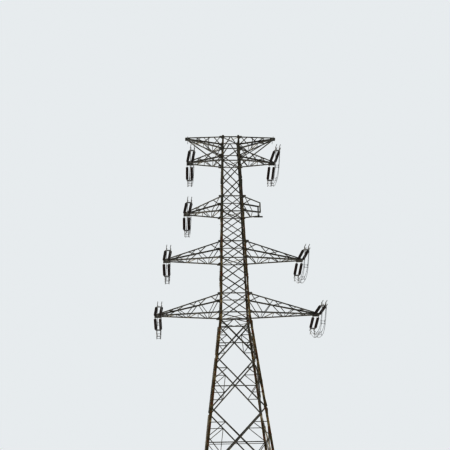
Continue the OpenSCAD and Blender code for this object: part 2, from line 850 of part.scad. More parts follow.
fittings(arm2_reach, arm2_z, [-1]);  // fittings_2
fittings(arm3_reach, arm3_z, [-1, 1]);  // fittings_3
union() {  // fittings_4
    fittings(arm4_reach, arm4_z, [-1]);
    fittings(arm4_right_reach, arm4_z, [1]);
}
jumpers(arm1_reach, arm1_z, [-1, 1]);  // jumpers_1
jumpers(arm2_reach, arm2_z, [-1]);  // jumpers_2
jumpers(arm3_reach, arm3_z, [-1, 1]);  // jumpers_3
union() {  // jumpers_4
    jumpers(arm4_reach, arm4_z, [-1]);
    jumpers(arm4_right_reach, arm4_z, [1]);
}
earth_wire_clamps();
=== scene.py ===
"""Lattice transmission tower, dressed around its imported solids: weathered steel, smooth jumper loops with
spacers and terminals, cap-and-pin discs, joint plates, bolts, fine bars, step bolts and cast piers."""

import logging
import math
from dataclasses import dataclass, field
from enum import Enum
from typing import Callable, Sequence

import bpy
import numpy as np
from mathutils import Matrix, Vector


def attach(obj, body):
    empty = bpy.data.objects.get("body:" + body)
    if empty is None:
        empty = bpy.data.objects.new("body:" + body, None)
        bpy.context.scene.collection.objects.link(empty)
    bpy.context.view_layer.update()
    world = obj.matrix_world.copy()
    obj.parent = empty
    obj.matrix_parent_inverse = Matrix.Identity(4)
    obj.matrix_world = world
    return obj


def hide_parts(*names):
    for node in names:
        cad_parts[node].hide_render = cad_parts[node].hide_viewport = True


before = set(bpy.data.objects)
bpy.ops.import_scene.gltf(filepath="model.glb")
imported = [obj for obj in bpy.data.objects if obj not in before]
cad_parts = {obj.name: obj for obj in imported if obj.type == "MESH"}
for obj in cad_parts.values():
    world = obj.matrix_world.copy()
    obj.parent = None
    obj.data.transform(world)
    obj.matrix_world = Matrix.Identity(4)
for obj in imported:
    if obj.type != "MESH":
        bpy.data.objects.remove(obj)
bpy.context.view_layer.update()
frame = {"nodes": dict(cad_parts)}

LOG = logging.getLogger("tower")

Array = np.ndarray
Colour = tuple[float, float, float]
Node = bpy.types.Node
Socket = bpy.types.NodeSocket
Piece = bpy.types.Object

X, Y, Z = np.eye(3)
SIDES = (-1, 1)
CORNERS = ((-1, -1), (1, -1), (1, 1), (-1, 1))
# the arms' levels from the top down; the peak beam above them counts as level 0
LEVELS = (1, 2, 3, 4)
PEAK = 0


# SMALL VECTOR TOOLS


def unit(v: Array) -> Array:
    """Vectors along the last axis, made one long."""
    return v / np.linalg.norm(v, axis=-1, keepdims=True)


def turn_z(angle: float) -> Array:
    """(3, 3) matrix that turns points about z by an angle in radians."""
    c, s = math.cos(angle), math.sin(angle)
    return np.array([[c, -s, 0], [s, c, 0], [0, 0, 1]])


def axes_from(z: Array, hint: Array) -> Array:
    """Right-handed axes for many pieces at once.

    Args:
        z: (N, 3) directions of the third axis.
        hint: (3,) or (N, 3) directions near the first axis.

    Returns:
        (N, 3, 3) matrices whose columns are the x, y and z axes.
    """
    z = unit(np.atleast_2d(z).astype(float))
    hint = np.broadcast_to(hint, z.shape)
    y = unit(np.cross(z, hint))
    return np.stack([np.cross(y, z), y, z], axis=-1)


def run_along(path: Array) -> Array:
    """Length along a path at each of its points, from 0."""
    return np.r_[0, np.cumsum(np.linalg.norm(np.diff(path, axis=0), axis=1))]


def places_at(path: Array, lengths: Array) -> Array:
    """Places on a path at the given lengths from its start."""
    run = run_along(path)
    return np.stack([np.interp(lengths, run, path[:, i]) for i in range(3)], -1)


# MESHES FROM ARRAYS


@dataclass
class Shape:
    """Points and faces of a surface; each entry of faces is an (F, K) array of faces with K corners."""

    points: Array
    faces: list[Array]
    uv: Array | None = None


def band_faces(rows: int, cols: int) -> Array:
    """Quads of a grid whose columns close into rings, facing away from the axis.

    Args:
        rows: number of rings.
        cols: points in a ring.

    Returns:
        ((rows - 1) * cols, 4) point numbers, ring by ring.
    """
    i, j = np.meshgrid(np.arange(rows - 1), np.arange(cols), indexing="ij")
    k = (j + 1) % cols
    return np.stack([i * cols + j, i * cols + k, (i + 1) * cols + k, (i + 1) * cols + j], -1).reshape(-1, 4)


def repeated(faces: list[Array], count: int, step: int) -> list[Array]:
    """Faces of equal shapes that follow each other, each `step` points after the last."""
    base = np.arange(count)[:, None, None] * step
    return [(base + f[None]).reshape(-1, f.shape[1]) for f in faces]


def mirrored(shape: Shape, signs: Sequence[float]) -> Shape:
    """The shape with each coordinate times its sign, its faces turned over if that makes a mirror image."""
    order = -1 if np.prod(signs) < 0 else 1
    return Shape(shape.points * signs, [f[:, ::order] for f in shape.faces])


def lofted(rings: Array, uv: Array | None = None) -> Shape:
    """Surface through rings of points, closed by a flat face at both ends.

    Args:
        rings: (R, K, 3) rings in order, each anticlockwise as seen from the last one.
        uv: place on the UV map of every corner, if the surface has one.

    Returns:
        The closed shape.
    """
    rows, cols = rings.shape[:2]
    first = np.arange(cols)[None]
    faces = [band_faces(rows, cols), first[:, ::-1], first + (rows - 1) * cols]
    return Shape(rings.reshape(-1, 3), faces, uv)


def turned(profile: Sequence[tuple[float, float]], sides: int) -> Shape:
    """Closed solid of revolution round z.

    Each point is (r cos t, r sin t, z) for the profile's (r, z) pairs and evenly spaced angles t.

    Args:
        profile: (radius, height) pairs in order, from the lower end to the upper one.
        sides: corners of each ring.

    Returns:
        The closed shape.
    """
    r, z = np.array(profile, float).T[:, :, None]
    t = np.arange(sides) * 2 * np.pi / sides
    return lofted(np.stack([r * np.cos(t), r * np.sin(t), z + 0 * t], -1))


def plate(outline: Sequence[Sequence[float]], thick: float, chamfer: float = 0.0015) -> Shape:
    """Flat plate: its outline at z = 0 and near z = thick, and a slightly smaller one on top as a chamfer.

    Args:
        outline: (K, 2) corners, anticlockwise.
        thick: thickness along z.
        chamfer: width and height of the top chamfer.

    Returns:
        The closed shape.
    """
    corners = np.asarray(outline, float)
    middle = corners.mean(0)
    reach = np.linalg.norm(corners - middle, axis=1, keepdims=True)
    top = middle + (corners - middle) * (1 - chamfer / reach)
    rings = [(corners, 0.0), (corners, thick - chamfer), (top, thick)]
    return lofted(np.stack([np.c_[xy, np.full(len(xy), z)] for xy, z in rings]))


def tube(path: Array, radius: float | Array, sides: int, hint: Array) -> Shape:
    """Round tube along a path, closed at both ends.

    Each ring is the circle radius * (u cos t + v sin t) round a path point, in the plane square to the path
    there; u is square to the hint direction. The UV map holds the length along the path and the turn.

    Args:
        path: (N, 3) centre line.
        radius: one radius, or one for each path point.
        sides: corners of a ring.
        hint: a direction that the path never follows.

    Returns:
        The closed shape.
    """
    along = unit(np.gradient(path, axis=0))
    u = unit(np.cross(hint, along))
    v = np.cross(along, u)
    t = (np.arange(sides) * 2 * np.pi / sides)[:, None]
    r = np.broadcast_to(radius, len(path))[:, None, None]
    rings = path[:, None] + r * (u[:, None] * np.cos(t) + v[:, None] * np.sin(t))
    run = run_along(path)
    i, j = np.divmod(np.arange((len(path) - 1) * sides), sides)
    steps = ((0, 0), (0, 1), (1, 1), (1, 0))
    corner = np.stack([np.stack([run[i + a], (j + b) / sides], -1) for a, b in steps], 1)
    return lofted(rings, np.concatenate([corner.reshape(-1, 2), np.zeros((2 * sides, 2))]))


L_CAPS = np.array([[3, 2, 1, 0], [0, 5, 4, 3], [6, 7, 8, 9], [9, 10, 11, 6]])


def l_bars(starts: Array, ends: Array) -> Shape:
    """Angle bars between two L sections of six corners each, with caps that are split at the inner corner.

    Args:
        starts: (N, 6, 3) corners of each bar's first section.
        ends: (N, 6, 3) corners of each bar's last section.

    Returns:
        All bars as one shape.
    """
    points = np.stack([starts, ends], 1).reshape(-1, 3)
    return Shape(points, repeated([band_faces(2, 6), L_CAPS], len(starts), 12))


def angles(p: Array, q: Array, width: float, thick: float, flange: Array) -> Shape:
    """Many angle bars at once, each with its heel on the line from p to q.

    The profile is an L with both flanges as wide as given; one flange points along `flange` (made square to
    the bar), the other along the bar's direction crossed with it.

    Args:
        p: (N, 3) starts.
        q: (N, 3) ends.
        width: flange width.
        thick: flange thickness.
        flange: (3,) or (N, 3) directions of the first flange.

    Returns:
        All bars as one shape.
    """
    d = unit(q - p)
    u = np.broadcast_to(flange, d.shape)
    u = unit(u - (u * d).sum(-1, keepdims=True) * d)
    v = np.cross(d, u)
    section = np.array([[0, 0], [width, 0], [width, thick], [thick, thick], [thick, width], [0, width]])
    ring = section[:, 0, None] * u[:, None] + section[:, 1, None] * v[:, None]
    return l_bars(p[:, None] + ring, q[:, None] + ring)


class Builder:
    """Gathers shapes and makes one mesh object of them."""

    def __init__(self, name: str) -> None:
        """Starts an empty piece.

        Args:
            name: name of the piece.
        """
        self.name = name
        self.points: list[Array] = []
        self.faces: list[Array] = []
        self.uvs: list[Array] = []
        self.count = 0

    def add(self, shape: Shape) -> "Builder":
        """Adds one shape as it lies.

        Args:
            shape: the shape in tower coordinates.

        Returns:
            The builder itself.
        """
        self.points.append(shape.points)
        self.faces += [f + self.count for f in shape.faces]
        corners = sum(f.size for f in shape.faces)
        self.uvs.append(np.zeros((corners, 2)) if shape.uv is None else shape.uv)
        self.count += len(shape.points)
        return self

    def add_copies(self, shape: Shape, axes: Array, origins: Array) -> "Builder":
        """Adds copies of one shape: each point is turned by a copy's axes and moved to its origin.

        Args:
            shape: the shape in its own place.
            axes: (N, 3, 3) axes of the copies, as columns.
            origins: (N, 3) places of the copies.

        Returns:
            The builder itself.
        """
        moved = np.einsum("nij,vj->nvi", axes, shape.points) + origins[:, None]
        return self.add(Shape(moved.reshape(-1, 3), repeated(shape.faces, len(origins), len(shape.points))))

    def build(self, finish: bpy.types.Material, slot: str, smooth_angle: float = 35.0) -> Piece:
        """Makes the object, smooth where its faces meet at less than an angle, and lets it ride on the tower.

        Args:
            finish: material of the whole piece.
            slot: the record's material slot; not used.
            smooth_angle: largest angle, in degrees, across which shading stays smooth.

        Returns:
            The new object.
        """
        mesh = bpy.data.meshes.new(self.name)
        points = np.concatenate(self.points).astype(np.float32)
        corners = np.concatenate([f.ravel() for f in self.faces]).astype(np.int32)
        sizes = np.concatenate([np.full(len(f), f.shape[1]) for f in self.faces]).astype(np.int32)
        mesh.vertices.add(len(points))
        mesh.vertices.foreach_set("co", points.ravel())
        mesh.loops.add(len(corners))
        mesh.loops.foreach_set("vertex_index", corners)
        mesh.polygons.add(len(sizes))
        mesh.polygons.foreach_set("loop_start", np.r_[0, np.cumsum(sizes)[:-1]].astype(np.int32))
        mesh.polygons.foreach_set("use_smooth", np.ones(len(sizes), bool))
        mesh.update(calc_edges=True)
        layer = mesh.uv_layers.new(name="UVMap")
        layer.data.foreach_set("uv", np.concatenate(self.uvs).astype(np.float32).ravel())
        mesh.set_sharp_from_angle(angle=math.radians(smooth_angle))
        mesh.materials.append(finish)
        piece = bpy.data.objects.new(self.name, mesh)
        bpy.context.scene.collection.objects.link(piece)
        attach(piece, "root")
        LOG.info("%s: %d faces", self.name, len(sizes))
        return piece


# THE TOWER'S SIZES


class Side(Enum):
    """The four faces, with the turn of each about z in degrees."""

    NEAR = 0
    RIGHT = 90
    FAR = 180
    LEFT = 270


@dataclass(frozen=True)
class Form:
    """Main sizes of the tower in metres, as its solids have them.

    The tuples go from arm 1 down to arm 4, but for body_z, the panel joints of the body, which goes from the
    ground up. The bars of a face end `edge` inside the leg corners, and the body's diagonals end `meet` above
    or below a panel joint. The tip plates are tip_h high, tip_y from the middle, and the strings' pins sit
    tip_in short of their outer ends, pin_out beside them and pin_drop below.
    """

    base_w: float = 7.1
    waist_w: float = 3.0
    peak_w: float = 1.84
    waist_z: float = 16.7
    body_z: tuple[float, ...] = (0.9, 7.1, 12.1, 15.95)
    rises: tuple[float, ...] = (17.15, 11.15, 5.9, 0.0)
    depths: tuple[float, ...] = (1.45, 1.75, 1.85, 2.05)
    reaches: tuple[float, ...] = (4.8, 5.15, 7.3, 8.16)
    bays: tuple[int, ...] = (4, 4, 5, 6)
    long_reach: float = 8.7
    long_arm: tuple[int, int] = (4, 1)
    blunt_arm: tuple[int, int] = (2, 1)
    peak_rise: float = 20.05
    peak_reach: float = 4.95
    peak_depth: float = 1.45
    peak_lift: float = 0.25
    peak_bays: int = 4
    edge: float = 0.11
    meet: float = 0.06
    leg_t: float = 0.02
    brace_t: float = 0.008
    gusset_t: float = 0.012
    tip_y: float = 0.15
    tip_h: float = 0.17
    tip_in: float = 0.24
    pin_out: float = 0.11
    pin_drop: float = 0.06
    pier_w: float = 1.0
    pier_h: float = 0.6

    @property
    def body_k(self) -> float:
        """How far a body face comes in for each metre of height."""
        return (self.base_w - self.waist_w) / 2 / self.waist_z

    @property
    def mast_k(self) -> float:
        """How far a mast face comes in for each metre of height."""
        return (self.waist_w - self.peak_w) / 2 / self.peak_rise

    @property
    def peak_z(self) -> float:
        """Height of the peak beam's upper chords at the mast."""
        return self.waist_z + self.peak_rise

    @property
    def peak_tip_z(self) -> float:
        """Height of the peak beam's lower chords at its tips."""
        return self.peak_z + self.peak_lift - self.tip_h

    def half_w(self, z: float | Array) -> Array:
        """Half distance between the leg corners.

        Args:
            z: height or heights above the ground.

        Returns:
            One value for each height.
        """
        z = np.asarray(z, float)
        body = self.base_w / 2 - self.body_k * z
        return np.where(z < self.waist_z, body, self.waist_w / 2 - self.mast_k * (z - self.waist_z))

    def reach(self, level: int, side: int) -> float:
        """Reach of an arm or of the peak beam.

        Args:
            level: 1 to 4 from the top, or PEAK.
            side: -1 for left, 1 for right.

        Returns:
            Distance from the axis to the tip.
        """
        if level == PEAK:
            return self.peak_reach
        return self.long_reach if (level, side) == self.long_arm else self.reaches[level - 1]

    def tip_sides(self, level: int) -> list[int]:
        """Sides on which a level runs out to a tip: both, but for the blunt arm."""
        return [side for side in SIDES if (level, side) != self.blunt_arm]

    def arm_z(self, level: int) -> float:
        """Height of the lower chords of an arm."""
        return self.waist_z + self.rises[level - 1]

    def mast_levels(self) -> Array:
        """The mast's panel joints: at both chords of each arm and halfway between two arms.

        Returns:
            Their heights from the waist up.
        """
        low = [self.arm_z(n) for n in reversed(LEVELS)]
        out: list[float] = []
        for z, above, depth in zip(low, low[1:], self.depths[::-1]):
            out += [z, z + depth, (z + depth + above) / 2]
        return np.array([*out, low[-1], low[-1] + self.depths[0], self.peak_z])


FORM = Form()


@dataclass(frozen=True)
class FaceFrame:
    """The frame of one leaning face: x across, y up the slope, z outward.

    Its origin lies on the face's middle line at height z0; the face comes in by k for each metre of height.
    """

    z0: float
    k: float
    side: Side

    @property
    def turn(self) -> Array:
        """(3, 3) turn of the near face to this one."""
        return turn_z(math.radians(self.side.value))

    def axes(self) -> Array:
        """(3, 3) matrix with the frame's axes as columns."""
        a = math.atan(self.k)
        return self.turn @ [[1, 0, 0], [0, math.sin(a), -math.cos(a)], [0, math.cos(a), math.sin(a)]]

    @property
    def out(self) -> Array:
        """Direction square to the face, outward."""
        return self.axes()[:, 2]

    def place(self, points: Array | Sequence[Sequence[float]]) -> Array:
        """Points of the face frame in tower coordinates."""
        foot = self.turn @ [0, -float(FORM.half_w(self.z0)), self.z0]
        return np.asarray(points, float) @ self.axes().T + foot

    def y_at(self, z: float | Array) -> Array:
        """Slant height of a level."""
        return (np.asarray(z, float) - self.z0) * math.hypot(1, self.k)

    def half(self, y: float | Array) -> Array:
        """Half width between the leg corners at slant height y."""
        return float(FORM.half_w(self.z0)) - self.k * np.asarray(y, float) / math.hypot(1, self.k)


def body_face(side: Side) -> FaceFrame:
    """Frame of a body face, from the lowest bracing point."""
    return FaceFrame(FORM.body_z[0], FORM.body_k, side)


def mast_face(side: Side) -> FaceFrame:
    """Frame of a mast face, from the waist."""
    return FaceFrame(FORM.waist_z, FORM.mast_k, side)


def grid_spots(xs: Sequence[float] | Array, ys: Sequence[float] | Array, z: float) -> Array:
    """Grid of places in a face frame, as (N, 3) points."""
    x, y = np.meshgrid(xs, ys)
    return np.stack([x.ravel(), y.ravel(), np.full(x.size, z)], -1)


@dataclass(frozen=True)
class Crossing:
    """One crossed panel: the slant heights where its diagonals start and end, and half its width at both."""

    lo: float
    hi: float
    wide: float
    narrow: float

    @classmethod
    def of(cls, f: FaceFrame, lo: float, hi: float) -> "Crossing":
        """The panel of a face between two slant heights."""
        return cls(lo, hi, float(f.half(lo)) - FORM.edge, float(f.half(hi)) - FORM.edge)

    @classmethod
    def body(cls, f: FaceFrame, panel: int) -> "Crossing":
        """A panel of a body face, counted from the ground."""
        lo, hi = (float(y) for y in f.y_at(np.array(FORM.body_z[panel:panel + 2])))
        return cls.of(f, lo + FORM.meet, hi - FORM.meet)

    @property
    def y(self) -> float:
        """Slant height of the crossing."""
        return self.lo + (self.hi - self.lo) * self.wide / (self.wide + self.narrow)


# NODE GROUPS FOR THE SURFACES


class Graph:
    """Short calls for adding nodes and links to one node tree."""

    def __init__(self, tree: bpy.types.NodeTree) -> None:
        """Works on the given tree."""
        self.tree = tree

    def feed(self, socket: Socket, value: object) -> None:
        """Links an output to an input, or sets the input's own value.

        Args:
            socket: the input.
            value: another node's output, or a plain value.
        """
        if isinstance(value, bpy.types.NodeSocket):
            self.tree.links.new(value, socket)
        else:
            socket.default_value = value

    def node(self, kind: str, inputs: dict | None = None, **settings: object) -> Node:
        """Adds a node.

        Args:
            kind: the node's type name.
            inputs: values or sockets for its inputs, by name or number.
            settings: properties of the node.

        Returns:
            The new node.
        """
        node = self.tree.nodes.new(kind)
        for name, value in settings.items():
            setattr(node, name, value)
        for key, value in (inputs or {}).items():
            self.feed(node.inputs[key], value)
        return node

    def math(self, kind: str, a: Socket | float, b: Socket | float = 0.0, clamp: bool = False) -> Socket:
        """One math step on two numbers."""
        return self.node("ShaderNodeMath", {0: a, 1: b}, operation=kind, use_clamp=clamp).outputs[0]

    def remap(self, value: Socket, low: Socket | float, high: Socket | float) -> Socket:
        """A value brought from a range to 0 to 1, clamped and eased."""
        wires = {"Value": value, "From Min": low, "From Max": high}
        return self.node("ShaderNodeMapRange", wires, interpolation_type="SMOOTHSTEP").outputs["Result"]

    def noise(self, point: Socket, scale: Socket | float, detail: Socket | float,
              rough: float = 0.55) -> Socket:
        """Soft noise value at a point."""
        wires = {"Vector": point, "Scale": scale, "Detail": detail, "Roughness": rough}
        return self.node("ShaderNodeTexNoise", wires).outputs["Fac"]

    def blend(self, mask: Socket, a: Socket | tuple, b: Socket | tuple) -> Socket:
        """Colour a where the mask is 0 and colour b where it is 1."""
        return self.node("ShaderNodeMix", {0: mask, 6: a, 7: b}, data_type="RGBA").outputs[2]

    def weighted(self, a: Socket, b: Socket, share: float) -> Socket:
        """Sum of two numbers, b with the given share and a with the rest."""
        return self.math("ADD", self.math("MULTIPLY", a, 1 - share), self.math("MULTIPLY", b, share))


def rgb(r: float, g: float, b: float) -> tuple[float, float, float, float]:
    """A colour as a node takes it."""
    return (r, g, b, 1.0)


@dataclass(frozen=True)
class Effect:
    """A node group that several finishes share: named number inputs, one point input, one number output.

    The recipe gets the group's graph and its inputs by name, and returns the output's socket.
    """

    name: str
    inputs: tuple[tuple[str, float], ...]
    output: str
    recipe: Callable[[Graph, dict[str, Socket]], Socket]

    def make(self) -> bpy.types.NodeTree:
        """Builds the group the first time that it is asked for.

        Returns:
            The group's node tree.
        """
        found = bpy.data.node_groups.get(self.name)
        if found:
            return found
        tree = bpy.data.node_groups.new(self.name, "ShaderNodeTree")
        tree.interface.new_socket("Point", in_out="INPUT", socket_type="NodeSocketVector")
        for name, value in self.inputs:
            made = tree.interface.new_socket(name, in_out="INPUT", socket_type="NodeSocketFloat")
            made.default_value = value
        tree.interface.new_socket(self.output, in_out="OUTPUT", socket_type="NodeSocketFloat")
        graph = Graph(tree)
        wires = {s.name: s for s in graph.node("NodeGroupInput").outputs if s.name}
        graph.node("NodeGroupOutput", {0: self.recipe(graph, wires)})
        return tree

    def use(self, graph: Graph, point: Socket, **values: float) -> Socket:
        """Places the group in a material.

        Args:
            graph: the material's graph.
            point: place on the surface.
            values: the group's inputs by name, in small letters.

        Returns:
            The group's output.
        """
        wires = {"Point": point, **{name.capitalize(): value for name, value in values.items()}}
        node = graph.node("ShaderNodeGroup", node_tree=self.make())
        for name, value in wires.items():
            graph.feed(node.inputs[name], value)
        return node.outputs[0]


def cut_off(g: Graph, w: dict[str, Socket], value: Socket) -> Socket:
    """Mask of a value above the threshold, soft at its edge."""
    return g.remap(value, w["Threshold"], g.math("ADD", w["Threshold"], w["Softness"]))


def streak_recipe(g: Graph, w: dict[str, Socket]) -> Socket:
    """Noise drawn out along z, as rain leaves it, cut at a threshold.

    Args:
        g: graph of the group.
        w: the group's inputs by name.

    Returns:
        The mask.
    """
    along = g.math("DIVIDE", w["Scale"], w["Stretch"])
    squash = g.node("ShaderNodeCombineXYZ", {0: w["Scale"], 1: w["Scale"], 2: along}).outputs[0]
    scaled = g.node("ShaderNodeVectorMath", {0: w["Point"], 1: squash}, operation="MULTIPLY").outputs[0]
    return cut_off(g, w, g.noise(scaled, scale=1.0, detail=3.0, rough=0.6))


def blotch_recipe(g: Graph, w: dict[str, Socket]) -> Socket:
    """Noise patches with ragged edges: a coarse noise shifted by a finer one, cut at a threshold.

    Args:
        g: graph of the group.
        w: the group's inputs by name.

    Returns:
        The mask.
    """
    finer, ragged = 6.0, 0.35
    coarse = g.noise(w["Point"], w["Scale"], detail=2.0)
    fine = g.noise(w["Point"], g.math("MULTIPLY", w["Scale"], finer), detail=4.0, rough=0.65)
    shift = g.math("MULTIPLY", g.math("SUBTRACT", fine, 0.5), ragged)
    return cut_off(g, w, g.math("ADD", coarse, shift))


def spangle_recipe(g: Graph, w: dict[str, Socket]) -> Socket:
    """Crystal cells of a zinc coat: one random grey for each cell of two sizes.

    Args:
        g: graph of the group.
        w: the group's inputs by name.

    Returns:
        The grey value.
    """
    finer, fine_share = 2.7, 0.35
    scales = (w["Scale"], g.math("MULTIPLY", w["Scale"], finer))
    cells = [g.node("ShaderNodeTexVoronoi", {"Vector": w["Point"], "Scale": scale}) for scale in scales]
    greys = [g.node("ShaderNodeSeparateColor", {0: cell.outputs["Color"]}).outputs[0] for cell in cells]
    return g.weighted(*greys, fine_share)


def dust_recipe(g: Graph, w: dict[str, Socket]) -> Socket:
    """Dust on faces that look up, broken by noise.

    Args:
        g: graph of the group.
        w: the group's inputs by name.

    Returns:
        The mask.
    """
    steep, level = 0.25, 0.95
    thin, thick = 0.35, 0.7
    normal = g.node("ShaderNodeNewGeometry").outputs["Normal"]
    up = g.node("ShaderNodeSeparateXYZ", {0: normal}).outputs[2]
    patchy = g.remap(g.noise(w["Point"], w["Scale"], detail=4.0), thin, thick)
    return g.math("MULTIPLY", g.math("MULTIPLY", g.remap(up, steep, level), patchy), w["Amount"])


def grain_recipe(g: Graph, w: dict[str, Socket]) -> Socket:
    """Height of a fine mill or cast grain: a noise and a finer one.

    Args:
        g: graph of the group.
        w: the group's inputs by name.

    Returns:
        The height.
    """
    finer, fine_share = 8.0, 0.3
    coarse = g.noise(w["Point"], w["Scale"], detail=3.0)
    fine = g.noise(w["Point"], g.math("MULTIPLY", w["Scale"], finer), detail=2.0)
    return g.weighted(coarse, fine, fine_share)


def fade_recipe(g: Graph, w: dict[str, Socket]) -> Socket:
    """Change with the height from one level to another, with a wavy edge.

    Args:
        g: graph of the group.
        w: the group's inputs by name.

    Returns:
        The mask.
    """
    z = g.node("ShaderNodeSeparateXYZ", {0: w["Point"]}).outputs[2]
    wave = g.math("MULTIPLY", g.noise(w["Point"], w["Scale"], w["Detail"]), w["Wave"])
    return g.remap(g.math("ADD", z, wave), w["Start"], w["End"])


THRESHOLDS = (("Scale", 1.0), ("Threshold", 0.5), ("Softness", 0.1))
STREAKS = Effect("rain_streaks", (*THRESHOLDS, ("Stretch", 8.0)), "Mask", streak_recipe)
BLOTCHES = Effect("ragged_patches", THRESHOLDS, "Mask", blotch_recipe)
SPANGLE = Effect("zinc_spangle", (("Scale", 40.0),), "Value", spangle_recipe)
DUST = Effect("settled_dust", (("Scale", 9.0), ("Amount", 0.5)), "Mask", dust_recipe)
GRAIN = Effect("surface_grain", (("Scale", 120.0),), "Height", grain_recipe)
FADE_INPUTS = (("Scale", 1.0), ("Detail", 3.0), ("Wave", 1.0), ("Start", 0.0), ("End", 1.0))
FADE = Effect("height_fade", FADE_INPUTS, "Mask", fade_recipe)


# FINISHES


@dataclass(frozen=True)
class Layer:
    """A colour laid over those below it where its mask shows; gloss is the mask's share in the roughness."""

    effect: Effect
    colour: Colour
    settings: dict[str, float]
    strength: float = 1.0
    gloss: float = 0.0


@dataclass(frozen=True)
class Finish:
    """One surface finish: its colours and shader numbers. Each kind lists its own layers of colour."""

    name: str
    metallic: float = 0.0
    rough: tuple[float, float] = (0.5, 0.75)
    bump: float = 0.15
    bump_depth: float = 0.002
    grain_scale: float = 120.0
    specular: float = 0.5
    coat: float = 0.0
    coat_rough: float = 0.08
    base: Colour = (0.5, 0.5, 0.5)

    def layers(self) -> list[Layer]:
        """Colours over the base, from the lowest one up."""
        return []

    def colour(self, g: Graph, point: Socket) -> tuple[Socket, Socket]:
        """The layers over the base, and the sum of their shares in the roughness.

        Args:
            g: graph of the material.
            point: place on the surface.

        Returns:
            Colour and roughness value, the latter from 0 to 1.
        """
        tone, gloss = rgb(*self.base), 0.0
        for layer in self.layers():
            mask = layer.effect.use(g, point, **layer.settings)
            tone = g.blend(g.math("MULTIPLY", mask, layer.strength), tone, rgb(*layer.colour))
            if layer.gloss:
                gloss = g.math("ADD", g.math("MULTIPLY", mask, layer.gloss), gloss, clamp=True)
        return tone, gloss

    def height(self, g: Graph, point: Socket) -> Socket:
        """Height of the fine relief."""
        return GRAIN.use(g, point, scale=self.grain_scale)

    def make(self) -> bpy.types.Material:
        """Builds the material from its colour, roughness and relief.

        Returns:
            The new material.
        """
        material = bpy.data.materials.new(self.name)
        material.use_nodes = True
        material.node_tree.nodes.clear()
        g = Graph(material.node_tree)
        point = g.node("ShaderNodeTexCoord").outputs["Object"]
        colour, gloss = self.colour(g, point)
        spread = {"Value": gloss, "To Min": self.rough[0], "To Max": self.rough[1]}
        relief = {"Height": self.height(g, point), "Strength": self.bump, "Distance": self.bump_depth}
        shader = g.node("ShaderNodeBsdfPrincipled", {
            "Base Color": colour, "Metallic": self.metallic, "Specular IOR Level": self.specular,
            "Roughness": g.node("ShaderNodeMapRange", spread).outputs["Result"],
            "Normal": g.node("ShaderNodeBump", relief).outputs["Normal"],
            "Coat Weight": self.coat, "Coat Roughness": self.coat_rough,
        })
        g.node("ShaderNodeOutputMaterial", {"Surface": shader.outputs["BSDF"]})
        return material


@dataclass(frozen=True)
class ZincFinish(Finish):
    """Weathered galvanised steel: dull warm grey with spangle, rain streaks, dark damp patches and rust."""

    base: Colour = (0.20, 0.19, 0.163)
    light: Colour = (0.40, 0.38, 0.31)
    dark: Colour = (0.080, 0.082, 0.075)
    rust: Colour = (0.16, 0.085, 0.035)
    dust: Colour = (0.32, 0.3, 0.26)
    rust_from: float = 0.62

    def layers(self) -> list[Layer]:
        """Spangle over the base, then dark streaks and damp patches, rust and dust.

        Returns:
            The layers, from the lowest one up.
        """
        rust = dict(scale=5.5, threshold=self.rust_from, softness=0.08)
        return [
            Layer(SPANGLE, self.light, dict(scale=42.0), strength=0.45, gloss=0.5),
            Layer(STREAKS, self.dark, dict(scale=7.0, threshold=0.5, softness=0.22, stretch=9.0)),
            Layer(BLOTCHES, self.dark, dict(scale=0.9, threshold=0.47, softness=0.2), strength=0.7),
            Layer(BLOTCHES, self.rust, rust, strength=0.85, gloss=1.0),
            Layer(DUST, self.dust, dict(scale=7.0, amount=0.45), gloss=1.0),
        ]


@dataclass(frozen=True)
class LegFinish(Finish):
    """Leg angles with an old golden-brown patina: olive and tan patches, dark runs, rust, grey high up."""

    base: Colour = (0.165, 0.122, 0.050)
    tan: Colour = (0.46, 0.36, 0.17)
    olive: Colour = (0.095, 0.105, 0.045)
    dark: Colour = (0.038, 0.033, 0.022)
    rust: Colour = (0.24, 0.070, 0.022)
    grey: Colour = (0.085, 0.095, 0.085)
    grey_from: float = 26.0
    grey_to: float = 35.0

    def layers(self) -> list[Layer]:
        """Tan in patches, olive in larger ones, then dark runs, rust blooms and grey with the height.

        Returns:
            The layers, from the lowest one up.
        """
        runs = dict(scale=13.0, threshold=0.5, softness=0.15, stretch=14.0)
        rust = dict(scale=4.2, threshold=0.54, softness=0.08)
        fade = dict(scale=0.8, detail=3.0, wave=6.0, start=self.grey_from, end=self.grey_to)
        return [
            Layer(BLOTCHES, self.tan, dict(scale=1.6, threshold=0.52, softness=0.10)),
            Layer(BLOTCHES, self.olive, dict(scale=0.55, threshold=0.5, softness=0.2), strength=0.8),
            Layer(STREAKS, self.dark, runs, strength=0.75, gloss=1.0),
            Layer(BLOTCHES, self.rust, rust, strength=0.85, gloss=1.0),
            Layer(FADE, self.grey, fade, strength=0.6),
        ]


